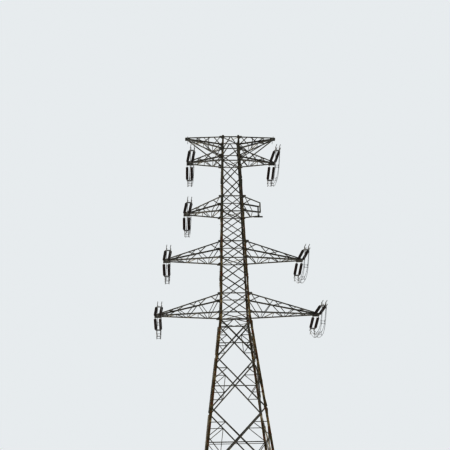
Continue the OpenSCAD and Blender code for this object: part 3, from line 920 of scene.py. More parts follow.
@dataclass(frozen=True)
class ConcreteFinish(Finish):
    """Cast concrete: pale grey, mottled, with board lines, damp runs and a splash band at the ground."""

    base: Colour = (0.42, 0.40, 0.37)
    pale: Colour = (0.56, 0.545, 0.51)
    damp: Colour = (0.20, 0.185, 0.16)
    splash_to: float = 0.26
    splash_full: float = 0.08
    board: float = 0.12
    board_line: float = 0.004
    line_share: float = 0.5
    pit_scale: float = 38.0
    pit_edge: tuple[float, float] = (0.32, 0.42)
    grain_share: float = 0.4

    def layers(self) -> list[Layer]:
        """Mottle, vertical runs and the darker band near the ground.

        Returns:
            The layers, from the lowest one up.
        """
        runs = dict(scale=9.0, threshold=0.52, softness=0.2, stretch=6.0)
        band = dict(scale=4.0, detail=4.0, wave=0.16, start=self.splash_to, end=self.splash_full)
        return [
            Layer(BLOTCHES, self.pale, dict(scale=3.2, threshold=0.42, softness=0.25), gloss=1.0),
            Layer(STREAKS, self.damp, runs, strength=0.5),
            Layer(FADE, self.damp, band, strength=0.75),
        ]

    def height(self, g: Graph, point: Socket) -> Socket:
        """Relief of the cast face: pits, fine grain, and faint lines between the form boards.

        Args:
            g: graph of the material.
            point: place on the surface.

        Returns:
            The height.
        """
        z = g.node("ShaderNodeSeparateXYZ", {0: point}).outputs[2]
        line = g.remap(g.math("PINGPONG", z, self.board / 2), 0.0, self.board_line)
        pits = g.remap(g.noise(point, self.pit_scale, detail=2.0), *self.pit_edge)
        coarse = g.math("ADD", g.math("MULTIPLY", line, self.line_share), pits)
        return g.math("ADD", coarse, g.math("MULTIPLY", super().height(g, point), self.grain_share))


@dataclass(frozen=True)
class GlazeFinish(Finish):
    """Dark brown glazed sheds with a film of dust on their upper sides."""

    base: Colour = (0.030, 0.017, 0.012)
    warm: Colour = (0.075, 0.034, 0.018)
    film: Colour = (0.16, 0.145, 0.12)

    def layers(self) -> list[Layer]:
        """Cloudy brown with a thin film of dust.

        Returns:
            The layers, from the lowest one up.
        """
        return [
            Layer(BLOTCHES, self.warm, dict(scale=6.0, threshold=0.46, softness=0.25)),
            Layer(DUST, self.film, dict(scale=16.0, amount=0.35), gloss=2.0),
        ]


@dataclass(frozen=True)
class CastFinish(Finish):
    """Cast and forged fittings: grey zinc over rough metal, with rust in patches."""

    base: Colour = (0.20, 0.205, 0.205)
    light: Colour = (0.34, 0.345, 0.34)
    rust: Colour = (0.17, 0.085, 0.04)
    dust: Colour = (0.3, 0.28, 0.24)

    def layers(self) -> list[Layer]:
        """Patchy zinc with rust blooms and dust.

        Returns:
            The layers, from the lowest one up.
        """
        rust = dict(scale=17.0, threshold=0.58, softness=0.08)
        return [
            Layer(BLOTCHES, self.light, dict(scale=11.0, threshold=0.42, softness=0.25)),
            Layer(BLOTCHES, self.rust, rust, strength=0.8, gloss=1.0),
            Layer(DUST, self.dust, dict(scale=14.0, amount=0.4), gloss=1.0),
        ]


@dataclass(frozen=True)
class WireFinish(Finish):
    """Stranded aluminium wire gone dull: the strands wind round the wire on its own UV map, with painted
    shade in the grooves between them.
    """

    base: Colour = (0.19, 0.195, 0.20)
    light: Colour = (0.32, 0.325, 0.33)
    # painted shade: the dark colour laid in the grooves between the strands
    gap: Colour = (0.06, 0.06, 0.06)
    groove_shade_depth: float = 0.6
    strands: float = 24.0
    lay: float = 0.34

    def layers(self) -> list[Layer]:
        """Cloudy along the wire."""
        return [Layer(BLOTCHES, self.light, dict(scale=4.0, threshold=0.42, softness=0.3), gloss=1.0)]

    def strand(self, g: Graph) -> Socket:
        """Sine of the turn round the wire, shifted along it by the lay of the strands.

        Args:
            g: graph of the material.

        Returns:
            The wave, from 0 between two strands to 1 on top of one.
        """
        uv = g.node("ShaderNodeUVMap", uv_map="UVMap").outputs[0]
        u, v = g.node("ShaderNodeSeparateXYZ", {0: uv}).outputs[:2]
        turn = g.math("ADD", v, g.math("DIVIDE", u, self.lay))
        wave = g.math("SINE", g.math("MULTIPLY", turn, self.strands * 2 * math.pi))
        return g.math("ADD", g.math("MULTIPLY", wave, 0.5), 0.5)

    def colour(self, g: Graph, point: Socket) -> tuple[Socket, Socket]:
        """The cloudy colour, with painted shade darkening the grooves between the strands.

        Args:
            g: graph of the material.
            point: place on the surface.

        Returns:
            Colour and roughness value.
        """
        tone, gloss = super().colour(g, point)
        # painted shade in the grooves, where the strands shade each other
        groove_shade = g.math("MULTIPLY", g.math("SUBTRACT", 1.0, self.strand(g)), self.groove_shade_depth)
        return g.blend(groove_shade, tone, rgb(*self.gap)), gloss

    def height(self, g: Graph, point: Socket) -> Socket:
        """The strands stand out from the wire."""
        return self.strand(g)


class Finishes:
    """All finishes of the tower, made once."""

    def __init__(self) -> None:
        """Makes the materials."""
        self.zinc = ZincFinish("weathered_zinc", metallic=0.25, rough=(0.5, 0.85)).make()
        self.plate = ZincFinish(
            "joint_plate", metallic=0.25, rough=(0.5, 0.85), base=(0.20, 0.17, 0.11), light=(0.33, 0.29, 0.2),
            dark=(0.085, 0.068, 0.042), rust=(0.19, 0.085, 0.03), rust_from=0.54).make()
        self.leg = LegFinish("leg_patina", metallic=0.12, rough=(0.55, 0.9), bump=0.25).make()
        self.concrete = ConcreteFinish(
            "cast_concrete", rough=(0.75, 0.95), bump=0.5, bump_depth=0.003, grain_scale=60.0,
            specular=0.3).make()
        self.glaze = GlazeFinish(
            "brown_glaze", rough=(0.12, 0.5), bump=0.06, bump_depth=0.001, grain_scale=60.0, coat=0.6).make()
        self.cast = CastFinish(
            "cast_fitting", metallic=0.45, rough=(0.4, 0.8), bump=0.3, bump_depth=0.001,
            grain_scale=160.0).make()
        self.bolt = CastFinish(
            "bolt_zinc", metallic=0.4, rough=(0.4, 0.75), bump=0.2, bump_depth=0.0006, grain_scale=300.0,
            base=(0.16, 0.155, 0.14)).make()
        self.wire = WireFinish(
            "stranded_wire", metallic=0.5, rough=(0.42, 0.62), bump=0.8, bump_depth=0.0015).make()

    def dress_solids(self, nodes: dict[str, Piece]) -> None:
        """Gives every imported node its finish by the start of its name.

        Args:
            nodes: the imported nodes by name.
        """
        table = (
            (("leg_",), self.leg), (("foundation",), self.concrete), (("insulators",), self.glaze),
            (("fittings", "earth_wire"), self.cast), (("jumpers",), self.wire), (("",), self.zinc),
        )
        for name, node in nodes.items():
            finish = next(m for starts, m in table if name.startswith(starts))
            for slot in node.material_slots:
                slot.material = finish
            if not node.material_slots:
                node.data.materials.append(finish)


# CAMERA, FLOOR AND LIGHT


@dataclass
class Studio:
    """Camera at the photograph's place, a plain pale floor and soft light."""

    eye: tuple[float, float, float] = (-4.877, -80.372, -3.011)
    yaw: float = 2.911
    pitch: float = 20.24
    roll: float = -1.249
    lens: float = 64.0
    sensor: float = 36.0
    clip: tuple[float, float] = (0.5, 4000.0)
    floor_sides: int = 96
    floor_hub: float = 0.01
    near_rings: tuple[float, float, int] = (2.0, 110.0, 64)
    far_rings: tuple[float, float, int] = (125.0, 1500.0, 24)
    slope_from: float = -36.0
    slope_to: float = -60.0
    slope_drop: float = 5.0
    floor_colour: Colour = (0.43, 0.455, 0.495)
    floor_rough: float = 0.9
    backdrop: Colour = (0.86, 0.885, 0.90)
    surround: Colour = (0.86, 0.93, 1.0)
    ambient: float = 0.27
    contrast: float = 0.68
    sun_from: tuple[float, float, float] = (-0.74, 0.11, 0.66)
    sun_power: float = 8.5
    sun_spread: float = 9.0
    sun_colour: Colour = (1.0, 0.93, 0.83)

    def camera(self) -> None:
        """Sets the camera: yaw turns it from +y towards +x, pitch lifts it, roll turns it on its axis."""
        y, p, r = (math.radians(v) for v in (self.yaw, self.pitch, self.roll))
        ahead = np.array([math.sin(y) * math.cos(p), math.cos(y) * math.cos(p), math.sin(p)])
        right = np.array([math.cos(y), -math.sin(y), 0.0])
        up = np.cross(right, ahead)
        right, up = math.cos(r) * right + math.sin(r) * up, -math.sin(r) * right + math.cos(r) * up
        data = bpy.data.cameras.new("photo_camera")
        data.lens, data.sensor_width = self.lens, self.sensor
        data.clip_start, data.clip_end = self.clip
        camera = bpy.data.objects.new("photo_camera", data)
        turn = np.stack([right, up, -ahead], 1)
        camera.matrix_world = Matrix.Translation(self.eye) @ Matrix(turn.tolist()).to_4x4()
        bpy.context.scene.collection.objects.link(camera)
        bpy.context.scene.camera = camera

    def floor(self) -> None:
        """A level floor that falls gently away in front, so that the low camera stands above it.

        Rings of growing radius round the tower; the height is a smooth step from 0 down to the drop between
        the two y values of the slope.
        """
        radii = np.r_[self.floor_hub, np.linspace(*self.near_rings), np.geomspace(*self.far_rings)]
        t = np.arange(self.floor_sides) * 2 * np.pi / self.floor_sides
        x, y = radii[:, None] * np.cos(t), radii[:, None] * np.sin(t)
        s = np.clip((self.slope_from - y) / (self.slope_from - self.slope_to), 0, 1)
        points = np.stack([x, y, -self.slope_drop * s * s * (3 - 2 * s)], -1).reshape(-1, 3)
        faces = [*band_faces(len(radii), self.floor_sides)[:, ::-1].tolist(), list(range(self.floor_sides))]
        mesh = bpy.data.meshes.new("floor")
        mesh.from_pydata(points.tolist(), [], faces)
        mesh.polygons.foreach_set("use_smooth", np.ones(len(mesh.polygons), bool))
        material = bpy.data.materials.new("pale_floor")
        material.use_nodes = True
        shader = material.node_tree.nodes["Principled BSDF"]
        shader.inputs["Base Color"].default_value = rgb(*self.floor_colour)
        shader.inputs["Roughness"].default_value = self.floor_rough
        mesh.materials.append(material)
        floor = bpy.data.objects.new("floor", mesh)
        bpy.context.scene.collection.objects.link(floor)

    def light(self) -> None:
        """One broad key light from the left, and an even pale surround that fills the shade."""
        sun = bpy.data.lights.new("key", "SUN")
        sun.energy, sun.angle, sun.color = self.sun_power, math.radians(self.sun_spread), self.sun_colour
        lamp = bpy.data.objects.new("key", sun)
        lamp.rotation_mode = "QUATERNION"
        lamp.rotation_quaternion = Vector(self.sun_from).to_track_quat("Z", "Y")
        bpy.context.scene.collection.objects.link(lamp)
        world = bpy.data.worlds.new("surround")
        world.use_nodes = True
        world.node_tree.nodes.clear()
        g = Graph(world.node_tree)
        shown = g.node("ShaderNodeBackground", {"Color": rgb(*self.backdrop), "Strength": 1.0})
        lit = g.node("ShaderNodeBackground", {"Color": rgb(*self.surround), "Strength": self.ambient})
        ray = g.node("ShaderNodeLightPath").outputs["Is Camera Ray"]
        mix = g.node("ShaderNodeMixShader", {0: ray, 1: lit.outputs[0], 2: shown.outputs[0]})
        g.node("ShaderNodeOutputWorld", {"Surface": mix.outputs[0]})
        bpy.context.scene.world = world
        view = bpy.context.scene.view_settings
        view.view_transform, view.gamma = "Standard", self.contrast

    def build(self) -> None:
        """Camera, floor and light."""
        self.camera()
        self.floor()
        self.light()


# STRINGS, FITTINGS AND JUMPERS


@dataclass(frozen=True)
class Tip:
    """One string pair at an arm tip: its frame has x down the strings, y across the pair."""

    level: int
    side: int
    far: bool
    far_slope: float = 16.0
    near_rise: float = 7.0
    near_turn: float = 6.0

    def origin(self) -> Array:
        """Middle of the pair's two pins.

        Returns:
            (3,) place in tower coordinates.
        """
        x = self.side * (FORM.reach(self.level, self.side) - FORM.tip_in)
        y = (1 if self.far else -1) * (FORM.tip_y + FORM.pin_out)
        return np.array([x, y, FORM.arm_z(self.level) - FORM.pin_drop])

    def axes(self) -> Array:
        """Axes of the pair's frame: turned about z, then sloped about y.

        Returns:
            (3, 3) matrix with the axes as columns.
        """
        a = math.radians(self.far_slope if self.far else -self.near_rise)
        turn = turn_z(math.radians(90 if self.far else -90 + self.near_turn))
        return turn @ [[math.cos(a), 0, math.sin(a)], [0, 1, 0], [-math.sin(a), 0, math.cos(a)]]

    def place(self, points: Array) -> Array:
        """Points of the pair's frame in tower coordinates."""
        return points @ self.axes().T + self.origin()


def tips(level: int) -> list[Tip]:
    """The string pairs of one level, two at each tip."""
    return [Tip(level, side, far) for side in FORM.tip_sides(level) for far in (False, True)]


@dataclass(frozen=True)
class StringParts:
    """Sizes of the insulator strings and their fittings, in metres, along the string from its pin."""

    discs: int = 14
    pitch: float = 0.146
    radius: float = 0.14
    start: float = 0.33
    gap: float = 0.52
    bundle: float = 0.4
    end_link: float = 0.13
    yoke_len: float = 0.26
    clamp_link: float = 0.12
    pad_in: float = 0.165
    pad_drop: float = 0.11

    @property
    def pad_x(self) -> float:
        """Place of the jumper pads, past the last disc, the yoke and the links."""
        yoke = self.start + self.discs * self.pitch + self.end_link
        return yoke + self.yoke_len + self.clamp_link + self.pad_in


PARTS = StringParts()
ALONG_X = axes_from(X, Z)[0]


@dataclass
class DiscStrings:
    """Cap-and-pin discs of all strings of one level: a glazed shed, an iron cap and a pin for each disc."""

    level: int
    shed_sides: int = 16
    cap_sides: int = 10
    pin_sides: int = 8
    pin_r: float = 0.012
    pin_from: float = 0.088

    def shed(self) -> Shape:
        """Bell of one disc: a profile turned round the string, smooth above, with a rib below.

        Returns:
            The shed, with z away from the arm.
        """
        r = PARTS.radius
        return turned([
            (0.040, 0.050), (0.056, 0.060), (0.098, 0.076), (r, 0.098), (r - 0.004, 0.110),
            (0.103, 0.096), (0.084, 0.110), (0.062, 0.094), (0.030, 0.092),
        ], self.shed_sides)

    def cap(self) -> Shape:
        """Iron cap that holds the pin of the disc above it."""
        profile = [(0.022, -0.004), (0.037, 0.002), (0.045, 0.028), (0.052, 0.058), (0.040, 0.064)]
        return turned(profile, self.cap_sides)

    def pin(self) -> Shape:
        """Pin from the shed's underside to the next cap."""
        return turned([(self.pin_r, self.pin_from), (self.pin_r, PARTS.pitch)], self.pin_sides)

    def build(self, finishes: Finishes) -> None:
        """Makes the glazed sheds and the iron caps of the level.

        Args:
            finishes: the tower's materials.
        """
        x = PARTS.start + PARTS.pitch * np.arange(PARTS.discs)
        lines = [np.stack([x, np.full_like(x, s * PARTS.gap / 2), 0 * x], -1) for s in SIDES]
        pair = np.concatenate(lines)
        origins = np.concatenate([tip.place(pair) for tip in tips(self.level)])
        turns = np.repeat([tip.axes() @ ALONG_X for tip in tips(self.level)], len(pair), 0)
        sheds = Builder(f"discs_{self.level}").add_copies(self.shed(), turns, origins)
        piece = sheds.build(finishes.glaze, "insulator", smooth_angle=50)
        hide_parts(f"insulators_{self.level}")
        caps = Builder(f"disc_caps_{self.level}").add_copies(self.cap(), turns, origins)
        caps.add_copies(self.pin(), turns, origins).build(finishes.cast, "fitting_steel")


@dataclass
class Jumpers:
    """Jumper loops of one level: four wires a side, their terminals and the spacers that hold them apart."""

    level: int
    sag: float = 2.05
    bowl: float = 2.6
    wire_d: float = 0.034
    points: int = 41
    sides: int = 14
    sleeve_at: tuple[float, ...] = (0.0, 0.03, 0.06, 0.22, 0.25)
    sleeve_r: tuple[float, ...] = (0.022, 0.03, 0.03, 0.028, 0.0195)
    fitting_sides: int = 12
    spacer_at: tuple[float, ...] = (0.24, 0.5, 0.76)
    spacer_step: float = 0.01
    spacer_arm_r: float = 0.014
    spacer_ring_r: float = 0.016
    spacer_ring: float = 0.72
    arm_points: int = 3
    ring_points: int = 5
    rod_sides: int = 8
    rod_hint: tuple[float, float, float] = (0.3, 0.5, 0.8)

    def line(self, side: int, s: int, v: int) -> Array:
        """Centre line from the near clamp pad to the far one.

        With f from 0 to 1 and g = (1 - cos(pi f)) / 2, the point runs evenly in g between the two pads while
        its height sinks to the lowest level by 1 - |2g - 1| to the power of the bowl.

        Args:
            side: -1 for the left tip, 1 for the right one.
            s: side of the wire within the bundle, -1 or 1.
            v: lower wire -1, upper wire 1.

        Returns:
            (points, 3) places.
        """
        h = PARTS.bundle / 2
        x, z = PARTS.pad_x, v * h - PARTS.pad_drop
        a = Tip(self.level, side, False).place(np.array([x, -s * h, z]))
        b = Tip(self.level, side, True).place(np.array([x, s * h, z]))
        low = FORM.arm_z(self.level) - self.sag + v * h
        g = (1 - np.cos(np.pi * np.linspace(0, 1, self.points))) / 2
        bowl = 1 - np.abs(2 * g - 1) ** self.bowl
        straight = a + (b - a) * g[:, None]
        return np.c_[straight[:, :2], straight[:, 2] + (low - straight[:, 2]) * bowl]

    def wire(self, finishes: Finishes, side: int, s: int, v: int) -> Array:
        """Args:
            finishes: the tower's materials.
            side: -1 for the left tip, 1 for the right one.
            s: side of the wire within the bundle, -1 or 1.
            v: lower wire -1, upper wire 1.

        Returns:
            The wire's centre line.
        """
        line = self.line(side, s, v)
        tip, height = "left" if side < 0 else "right", "lower" if v < 0 else "upper"
        across = "inner" if s * side > 0 else "outer"
        hull = tube(line, self.wire_d / 2, self.sides, X)
        wire = Builder(f"jumper_{self.level}_{tip}_{across}_{height}").add(hull).build(
            finishes.wire, "wire_aluminium", smooth_angle=60)
        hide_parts(f"jumpers_{self.level}")
        return line

    def terminals(self, builder: Builder, line: Array) -> None:
        """Sleeves along both ends of one wire, each thinner at its mouth.

        Args:
            builder: gathers the sleeves.
            line: centre line of the wire.
        """
        for end in (line, line[::-1]):
            path = places_at(end, np.array(self.sleeve_at))
            builder.add(tube(path, np.array(self.sleeve_r), self.fitting_sides, X))

    def spacer(self, builder: Builder, lines: list[Array], share: float) -> None:
        """A square frame that holds the four wires apart, with a clamp round each wire.

        Args:
            builder: gathers the frame and its clamps.
            lines: centre lines of the wires, in order round the bundle.
            share: place along the wires, from 0 to 1.
        """
        ends = self.spacer_step * np.array(SIDES)
        pairs = np.stack([places_at(line, share * run_along(line)[-1] + ends) for line in lines])
        spots, ways = pairs.mean(1), unit(pairs[:, 1] - pairs[:, 0])
        middle = spots.mean(0)
        clamp = turned([(0.021, -0.034), (0.031, -0.028), (0.031, 0.028), (0.021, 0.034)], self.fitting_sides)
        builder.add_copies(clamp, axes_from(ways, unit(middle - spots[0])), spots)
        inner = middle + (spots - middle) * self.spacer_ring
        hint = np.array(self.rod_hint)
        for spot, corner, following in zip(spots, inner, np.roll(inner, -1, 0)):
            arm = np.linspace(spot, corner, self.arm_points)
            edge = np.linspace(corner, following, self.ring_points)
            builder.add(tube(arm, self.spacer_arm_r, self.rod_sides, hint))
            builder.add(tube(edge, self.spacer_ring_r, self.rod_sides, hint))

    def build(self, finishes: Finishes) -> None:
        """Makes wires, terminals and spacers of the level.

        Args:
            finishes: the tower's materials.
        """
        ends = Builder(f"jumper_terminals_{self.level}")
        frames = Builder(f"jumper_spacers_{self.level}")
        for side in FORM.tip_sides(self.level):
            lines = {(s, v): self.wire(finishes, side, s, v) for s in SIDES for v in SIDES}
            for line in lines.values():
                self.terminals(ends, line)
            for share in self.spacer_at:
                self.spacer(frames, [lines[corner] for corner in CORNERS], share)
        ends.build(finishes.cast, "fitting_steel")
        frames.build(finishes.cast, "fitting_steel")


# BOLTS AND PLATES


@dataclass
class BoltRows:
    """Bolts gathered by the place of their heads and the way they point."""

    across: float = 0.036
    head: float = 0.016
    bevel: float = 0.003
    washer_t: float = 0.003
    washer: float = 1.15
    washer_sides: int = 12
    top: float = 0.86
    sunk: float = 0.001
    upright_from: float = 0.9
    spots: list[Array] = field(default_factory=list)
    ways: list[Array] = field(default_factory=list)

    def add(self, spots: Array, way: Array) -> None:
        """Adds bolt heads at the given places, pointing along the way."""
        self.spots.append(spots)
        self.ways.append(np.broadcast_to(way, spots.shape))

    def shapes(self) -> list[Shape]:
        """Shapes of one bolt: a washer and a hexagon head with a bevelled top.

        Returns:
            Both shapes, with z along the bolt.
        """
        r = self.across / 2 / math.cos(math.pi / 6)
        washer = [(r * self.washer, -self.sunk), (r * self.washer, self.washer_t)]
        hexagon = [(r, self.washer_t), (r, self.head), (r * self.top, self.head + self.bevel)]
        return [turned(washer, self.washer_sides), turned(hexagon, 6)]

    def build(self, name: str, finishes: Finishes) -> None:
        """Makes all bolts as one piece.

        Args:
            name: name of the piece.
            finishes: the tower's materials.
        """
        spots, ways = np.concatenate(self.spots), np.concatenate(self.ways)
        upright = np.abs(ways[:, 2:]) > self.upright_from
        turns = axes_from(ways, np.where(upright, X, Z))
        builder = Builder(name)
        for shape in self.shapes():
            builder.add_copies(shape, turns, spots)
        builder.build(finishes.bolt, "galvanised_steel", smooth_angle=20)


@dataclass
class FaceJoints:
    """Joint plates and bolts of the body and mast faces; the sizes are measured in the face."""

    cover_w: float = 0.165
    cover_h: float = 0.30
    cover_t: float = 0.008
    cover_out: float = 0.028
    cut: float = 0.035
    columns: tuple[float, ...] = (0.04, 0.115)
    rows: tuple[float, ...] = (-0.37, -0.16, 0.16, 0.37)
    body_cross: float = 0.035
    flange_in: float = 0.045
    strut_apart: float = 0.07
    mast_columns: tuple[float, ...] = (0.02, 0.075)
    mast_rows: tuple[float, ...] = (-0.09, -0.035, 0.035, 0.09)
    mast_cross: float = 0.028
    mast_meet: float = 0.04
    seat: float = 0.001
    covers: Builder = field(default_factory=lambda: Builder("joint_plates"))
    bolts: BoltRows = field(default_factory=BoltRows)

    def cover(self, f: FaceFrame, y: float, s: int, outward: bool) -> None:
        """One plate on the bar ends at a joint, with its bolts.

        Args:
            f: the face.
            y: slant height of the joint.
            s: side of the joint, -1 or 1.
            outward: True for a plate in front of the leg flange, False for one behind the bars.
        """
        x, w, h, c = float(f.half(y)) - FORM.edge + self.cover_out, self.cover_w, self.cover_h, self.cut
        way = 1 if outward else -1
        z = FORM.brace_t if outward else -FORM.leg_t - FORM.brace_t
        outline = [
            [0, -h / 2 + c], [c, -h / 2], [w - c, -h / 2], [w, -h / 2 + 2 * c],
            [w, h / 2 - 2 * c], [w - c, h / 2], [c, h / 2], [0, h / 2 - c],
        ]
        shape = mirrored(plate(outline, self.cover_t), (-s, 1, way))
        self.covers.add(Shape(f.place(shape.points + [s * x, y, z]), shape.faces))
        across, up = s * (x - np.array(self.columns)), y + h * np.array(self.rows)
        self.bolts.add(f.place(grid_spots(across, up, z + way * self.cover_t)), f.out * way)

    def crossing(self, f: FaceFrame, y: float, half: float) -> None:
        """Four bolts in a square where two diagonals cross at slant height y."""
        self.bolts.add(f.place(grid_spots([-half, half], [y - half, y + half], FORM.brace_t)), f.out)

    def body(self, side: Side) -> None:
        """Joints of one body face: plates at the two middle levels, bolts at crossings and bar ends.

        Args:
            side: which face.
        """
        f = body_face(side)
        levels = [float(y) for y in f.y_at(np.array(FORM.body_z))]
        for y, s in ((levels[1], 1), (levels[2], -1)):
            self.cover(f, y, -s, True)
            self.cover(f, y, s, False)
        ends = [levels[-1]]
        for panel in range(len(levels) - 1):
            c = Crossing.body(f, panel)
            self.crossing(f, c.y, self.body_cross)
            # the rail and the struts end behind the leg flanges at these heights
            ends += [] if side is Side.NEAR else [c.y]
            ends += [(c.lo + c.y) / 2, (c.y + c.hi) / 2, c.y - self.strut_apart, c.y + self.strut_apart]
        for y in ends:
            x = float(f.half(y)) - FORM.edge - self.flange_in
            self.bolts.add(f.place([[s * x, y, 0.0] for s in SIDES]), f.out)

    def mast(self, side: Side) -> None:
        """Bolts of one mast face: at the joints on both leg flanges and at every crossing.

        Args:
            side: which face.
        """
        f = mast_face(side)
        levels = [float(y) for y in f.y_at(FORM.mast_levels())]
        for y in levels[1:]:
            x = float(f.half(y)) - FORM.edge - np.array(self.mast_columns)
            spots = [grid_spots(s * x, y + np.array(self.mast_rows), FORM.brace_t - self.seat) for s in SIDES]
            self.bolts.add(f.place(np.concatenate(spots)), f.out)
        # the crossed panels end at arm 1; above it come one diagonal and an inverted V
        for lo, hi in zip(levels[:-3], levels[1:-2]):
            self.crossing(f, Crossing.of(f, lo + self.mast_meet, hi - self.mast_meet).y, self.mast_cross)

    def build(self, finishes: Finishes) -> None:
        """Makes the joint plates and the bolts of all faces.

        Args:
            finishes: the tower's materials.
        """
        for side in Side:
            self.body(side)
            self.mast(side)
        self.covers.build(finishes.plate, "galvanised_steel")
        self.bolts.build("face_bolts", finishes)


@dataclass
class FineBars:
    """Fine angles between the main bars: a post across each rail, a second low rail, and the waist's ring.

    The ring joins the legs on all four faces at the top of the body. An inverted V hangs from the mast's
    lowest rail on every face but the near one, and a level diamond joins the middles of the ring.
    """

    width: float = 0.055
    thick: float = 0.006
    ring_w: float = 0.09
    vee_w: float = 0.07
    vee_in: float = 0.0045
    vee_up: float = 0.02
    vee_apart: float = 0.02
    second: float = 0.19
    foot_z: float = 15.2
    behind: float = -0.0215
    diamond_in: float = 0.05
    post_sides: tuple[int, ...] = (1, 1, -1)

    def in_face(self, f: FaceFrame, ends: Sequence[Sequence[float]], z: float, width: float,
                outward: bool = False) -> Shape:
        """Angles that lie in a face, with their flat flanges against the plane at z.

        Args:
            f: the face.
            ends: x and y of each bar's start, then of its end.
            z: plane of the flat flanges.
            width: width of the flanges.
            outward: True where the other flange points outward.

        Returns:
            The bars as one shape.
        """
        e = np.asarray(ends, float)
        p, q = (f.place(np.c_[e[:, i:i + 2], np.full(len(e), z)]) for i in (0, 2))
        u = np.cross(f.out * (1 if outward else -1), unit(q - p))
        return angles(p - u * width / 2, q - u * width / 2, width, self.thick, u)

    def level(self, f: FaceFrame, y: float) -> list[list[float]]:
        """Ends of a level bar from leg to leg."""
        x = float(f.half(y)) - FORM.edge
        return [[-x, y, x, y]]

    def face(self, side: Side, builder: Builder) -> None:
        """Fine bars of one body face.

        Args:
            side: which face.
            builder: gathers the bars.
        """
        f = body_face(side)
        top = float(f.y_at(FORM.body_z[-1]))
        builder.add(self.in_face(f, self.level(f, top), self.behind, self.ring_w))
        if side is Side.NEAR:
            return
        panels = [Crossing.body(f, i) for i in range(len(self.post_sides))]
        posts = [[s * c.wide / 2, (c.lo + c.y) / 2, s * c.narrow / 2, (c.y + c.hi) / 2]
                 for s, c in zip(self.post_sides, panels)]
        builder.add(self.in_face(f, posts, self.behind, self.width, True))
        builder.add(self.in_face(f, self.level(f, panels[0].y - self.second), self.behind, self.width))
        foot, head = (float(f.y_at(z)) for z in (self.foot_z, FORM.waist_z + self.vee_up))
        x = float(f.half(foot)) - FORM.edge
        vee = [[s * self.vee_apart, head, s * x, foot] for s in SIDES]
        builder.add(self.in_face(f, vee, self.behind - self.vee_in, self.vee_w))

    def diamond(self) -> Shape:
        """Level bars between the middles of the ring, under its inward flanges.

        Returns:
            The four bars as one shape.
        """
        z = FORM.body_z[-1] + self.ring_w / 2 - self.thick
        p = (float(FORM.half_w(z)) - self.diamond_in) * np.array([X, Y, -X, -Y]) + z * Z
        q = np.roll(p, -1, 0)
        return angles(p, q, self.width, self.thick, np.cross(unit(q - p), Z))

    def build(self, finishes: Finishes) -> None:
        """Makes all fine bars as one piece.

        Args:
            finishes: the tower's materials.
        """
        builder = Builder("fine_bars")
        for side in Side:
            self.face(side, builder)
        builder.add(self.diamond())
        builder.build(finishes.zinc, "galvanised_steel")


@dataclass
class ArmBolts:
    """Bolts of the arms: on the root plates, the tip plates and where lacing meets the chords."""

    leg_rows: tuple[float, ...] = (-0.03, 0.05, 0.13, 0.21)
    leg_in: float = 0.035
    chord_rows: tuple[float, ...] = (0.09, 0.16, 0.23, 0.3)
    chord_up: float = 0.045
    tip_rows: tuple[float, ...] = (0.58, 0.5, 0.42, 0.2, 0.12, 0.04)
    tip_edge: float = 0.045
    tip_face: float = 0.008
    lacing_at: tuple[float, ...] = (0.15, 0.25, 0.96)
    lacing_up: float = 0.03
    chord_start: tuple[float, float] = (0.04, 0.006)
    bolts: BoltRows = field(default_factory=lambda: BoltRows(across=0.03, head=0.014))

    def roots(self) -> None:
        """Two rows on each root plate: along the leg flange and out along the chord."""
        rows = [(FORM.peak_z, -1)]
        for level, depth in zip(LEVELS, FORM.depths):
            rows += [(FORM.arm_z(level), 1), (FORM.arm_z(level) + depth, -1)]
        for f in (mast_face(Side.NEAR), mast_face(Side.FAR)):
            for z, up in rows:
                y, w = float(f.y_at(z)), float(FORM.half_w(z))
                leg = [[w - self.leg_in, y + up * d, FORM.gusset_t] for d in self.leg_rows]
                chord = [[w + d, y + up * self.chord_up, FORM.gusset_t] for d in self.chord_rows]
                for side in SIDES:
                    self.bolts.add(f.place(np.array(leg + chord) * [side, 1, 1]), f.out)

    def tips(self) -> None:
        """Two rows on the outer side of each tip plate."""
        heights = [self.tip_edge, FORM.tip_h - self.tip_edge]
        for level in LEVELS:
            for side in FORM.tip_sides(level):
                xs = FORM.reach(level, side) - np.array(self.tip_rows)
                spots = grid_spots(side * xs, heights, FORM.tip_y + self.tip_face)[:, [0, 2, 1]]
                for s in SIDES:
                    self.bolts.add(spots * [1, s, 1] + FORM.arm_z(level) * Z, s * Y)

    def lacing(self) -> None:
        """One head on the outer face of each chord at every lacing joint.

        Each chord runs from the mast to the tip plate; the heads sit at the same shares of every bay but the
        last one.
        """
        beams = [(n, FORM.arm_z(n), FORM.arm_z(n), FORM.depths[n - 1], FORM.bays[n - 1]) for n in LEVELS]
        beams.append((PEAK, FORM.peak_z - FORM.peak_depth, FORM.peak_tip_z, FORM.peak_depth, FORM.peak_bays))
        for level, root, tip, depth, bays in beams:
            share = (np.arange(bays - 1)[:, None] + self.lacing_at).reshape(-1, 1) / bays
            chords = ((root, tip, self.lacing_up), (root + depth, tip + FORM.tip_h, -self.lacing_up))
            for z, end_z, up in chords:
                start = np.array([*(float(FORM.half_w(z)) + np.array(self.chord_start)), z])
                for side in FORM.tip_sides(level):
                    end = np.array([FORM.reach(level, side), FORM.tip_y, end_z])
                    line = start + (end - start) * share + up * Z
                    for s in SIDES:
                        self.bolts.add(line * [side, s, 1], s * Y)

    def build(self, finishes: Finishes) -> None:
        """Makes all arm bolts.

        Args:
            finishes: the tower's materials.
        """
        self.roots()
        self.tips()
        self.lacing()
        self.bolts.build("arm_bolts", finishes)


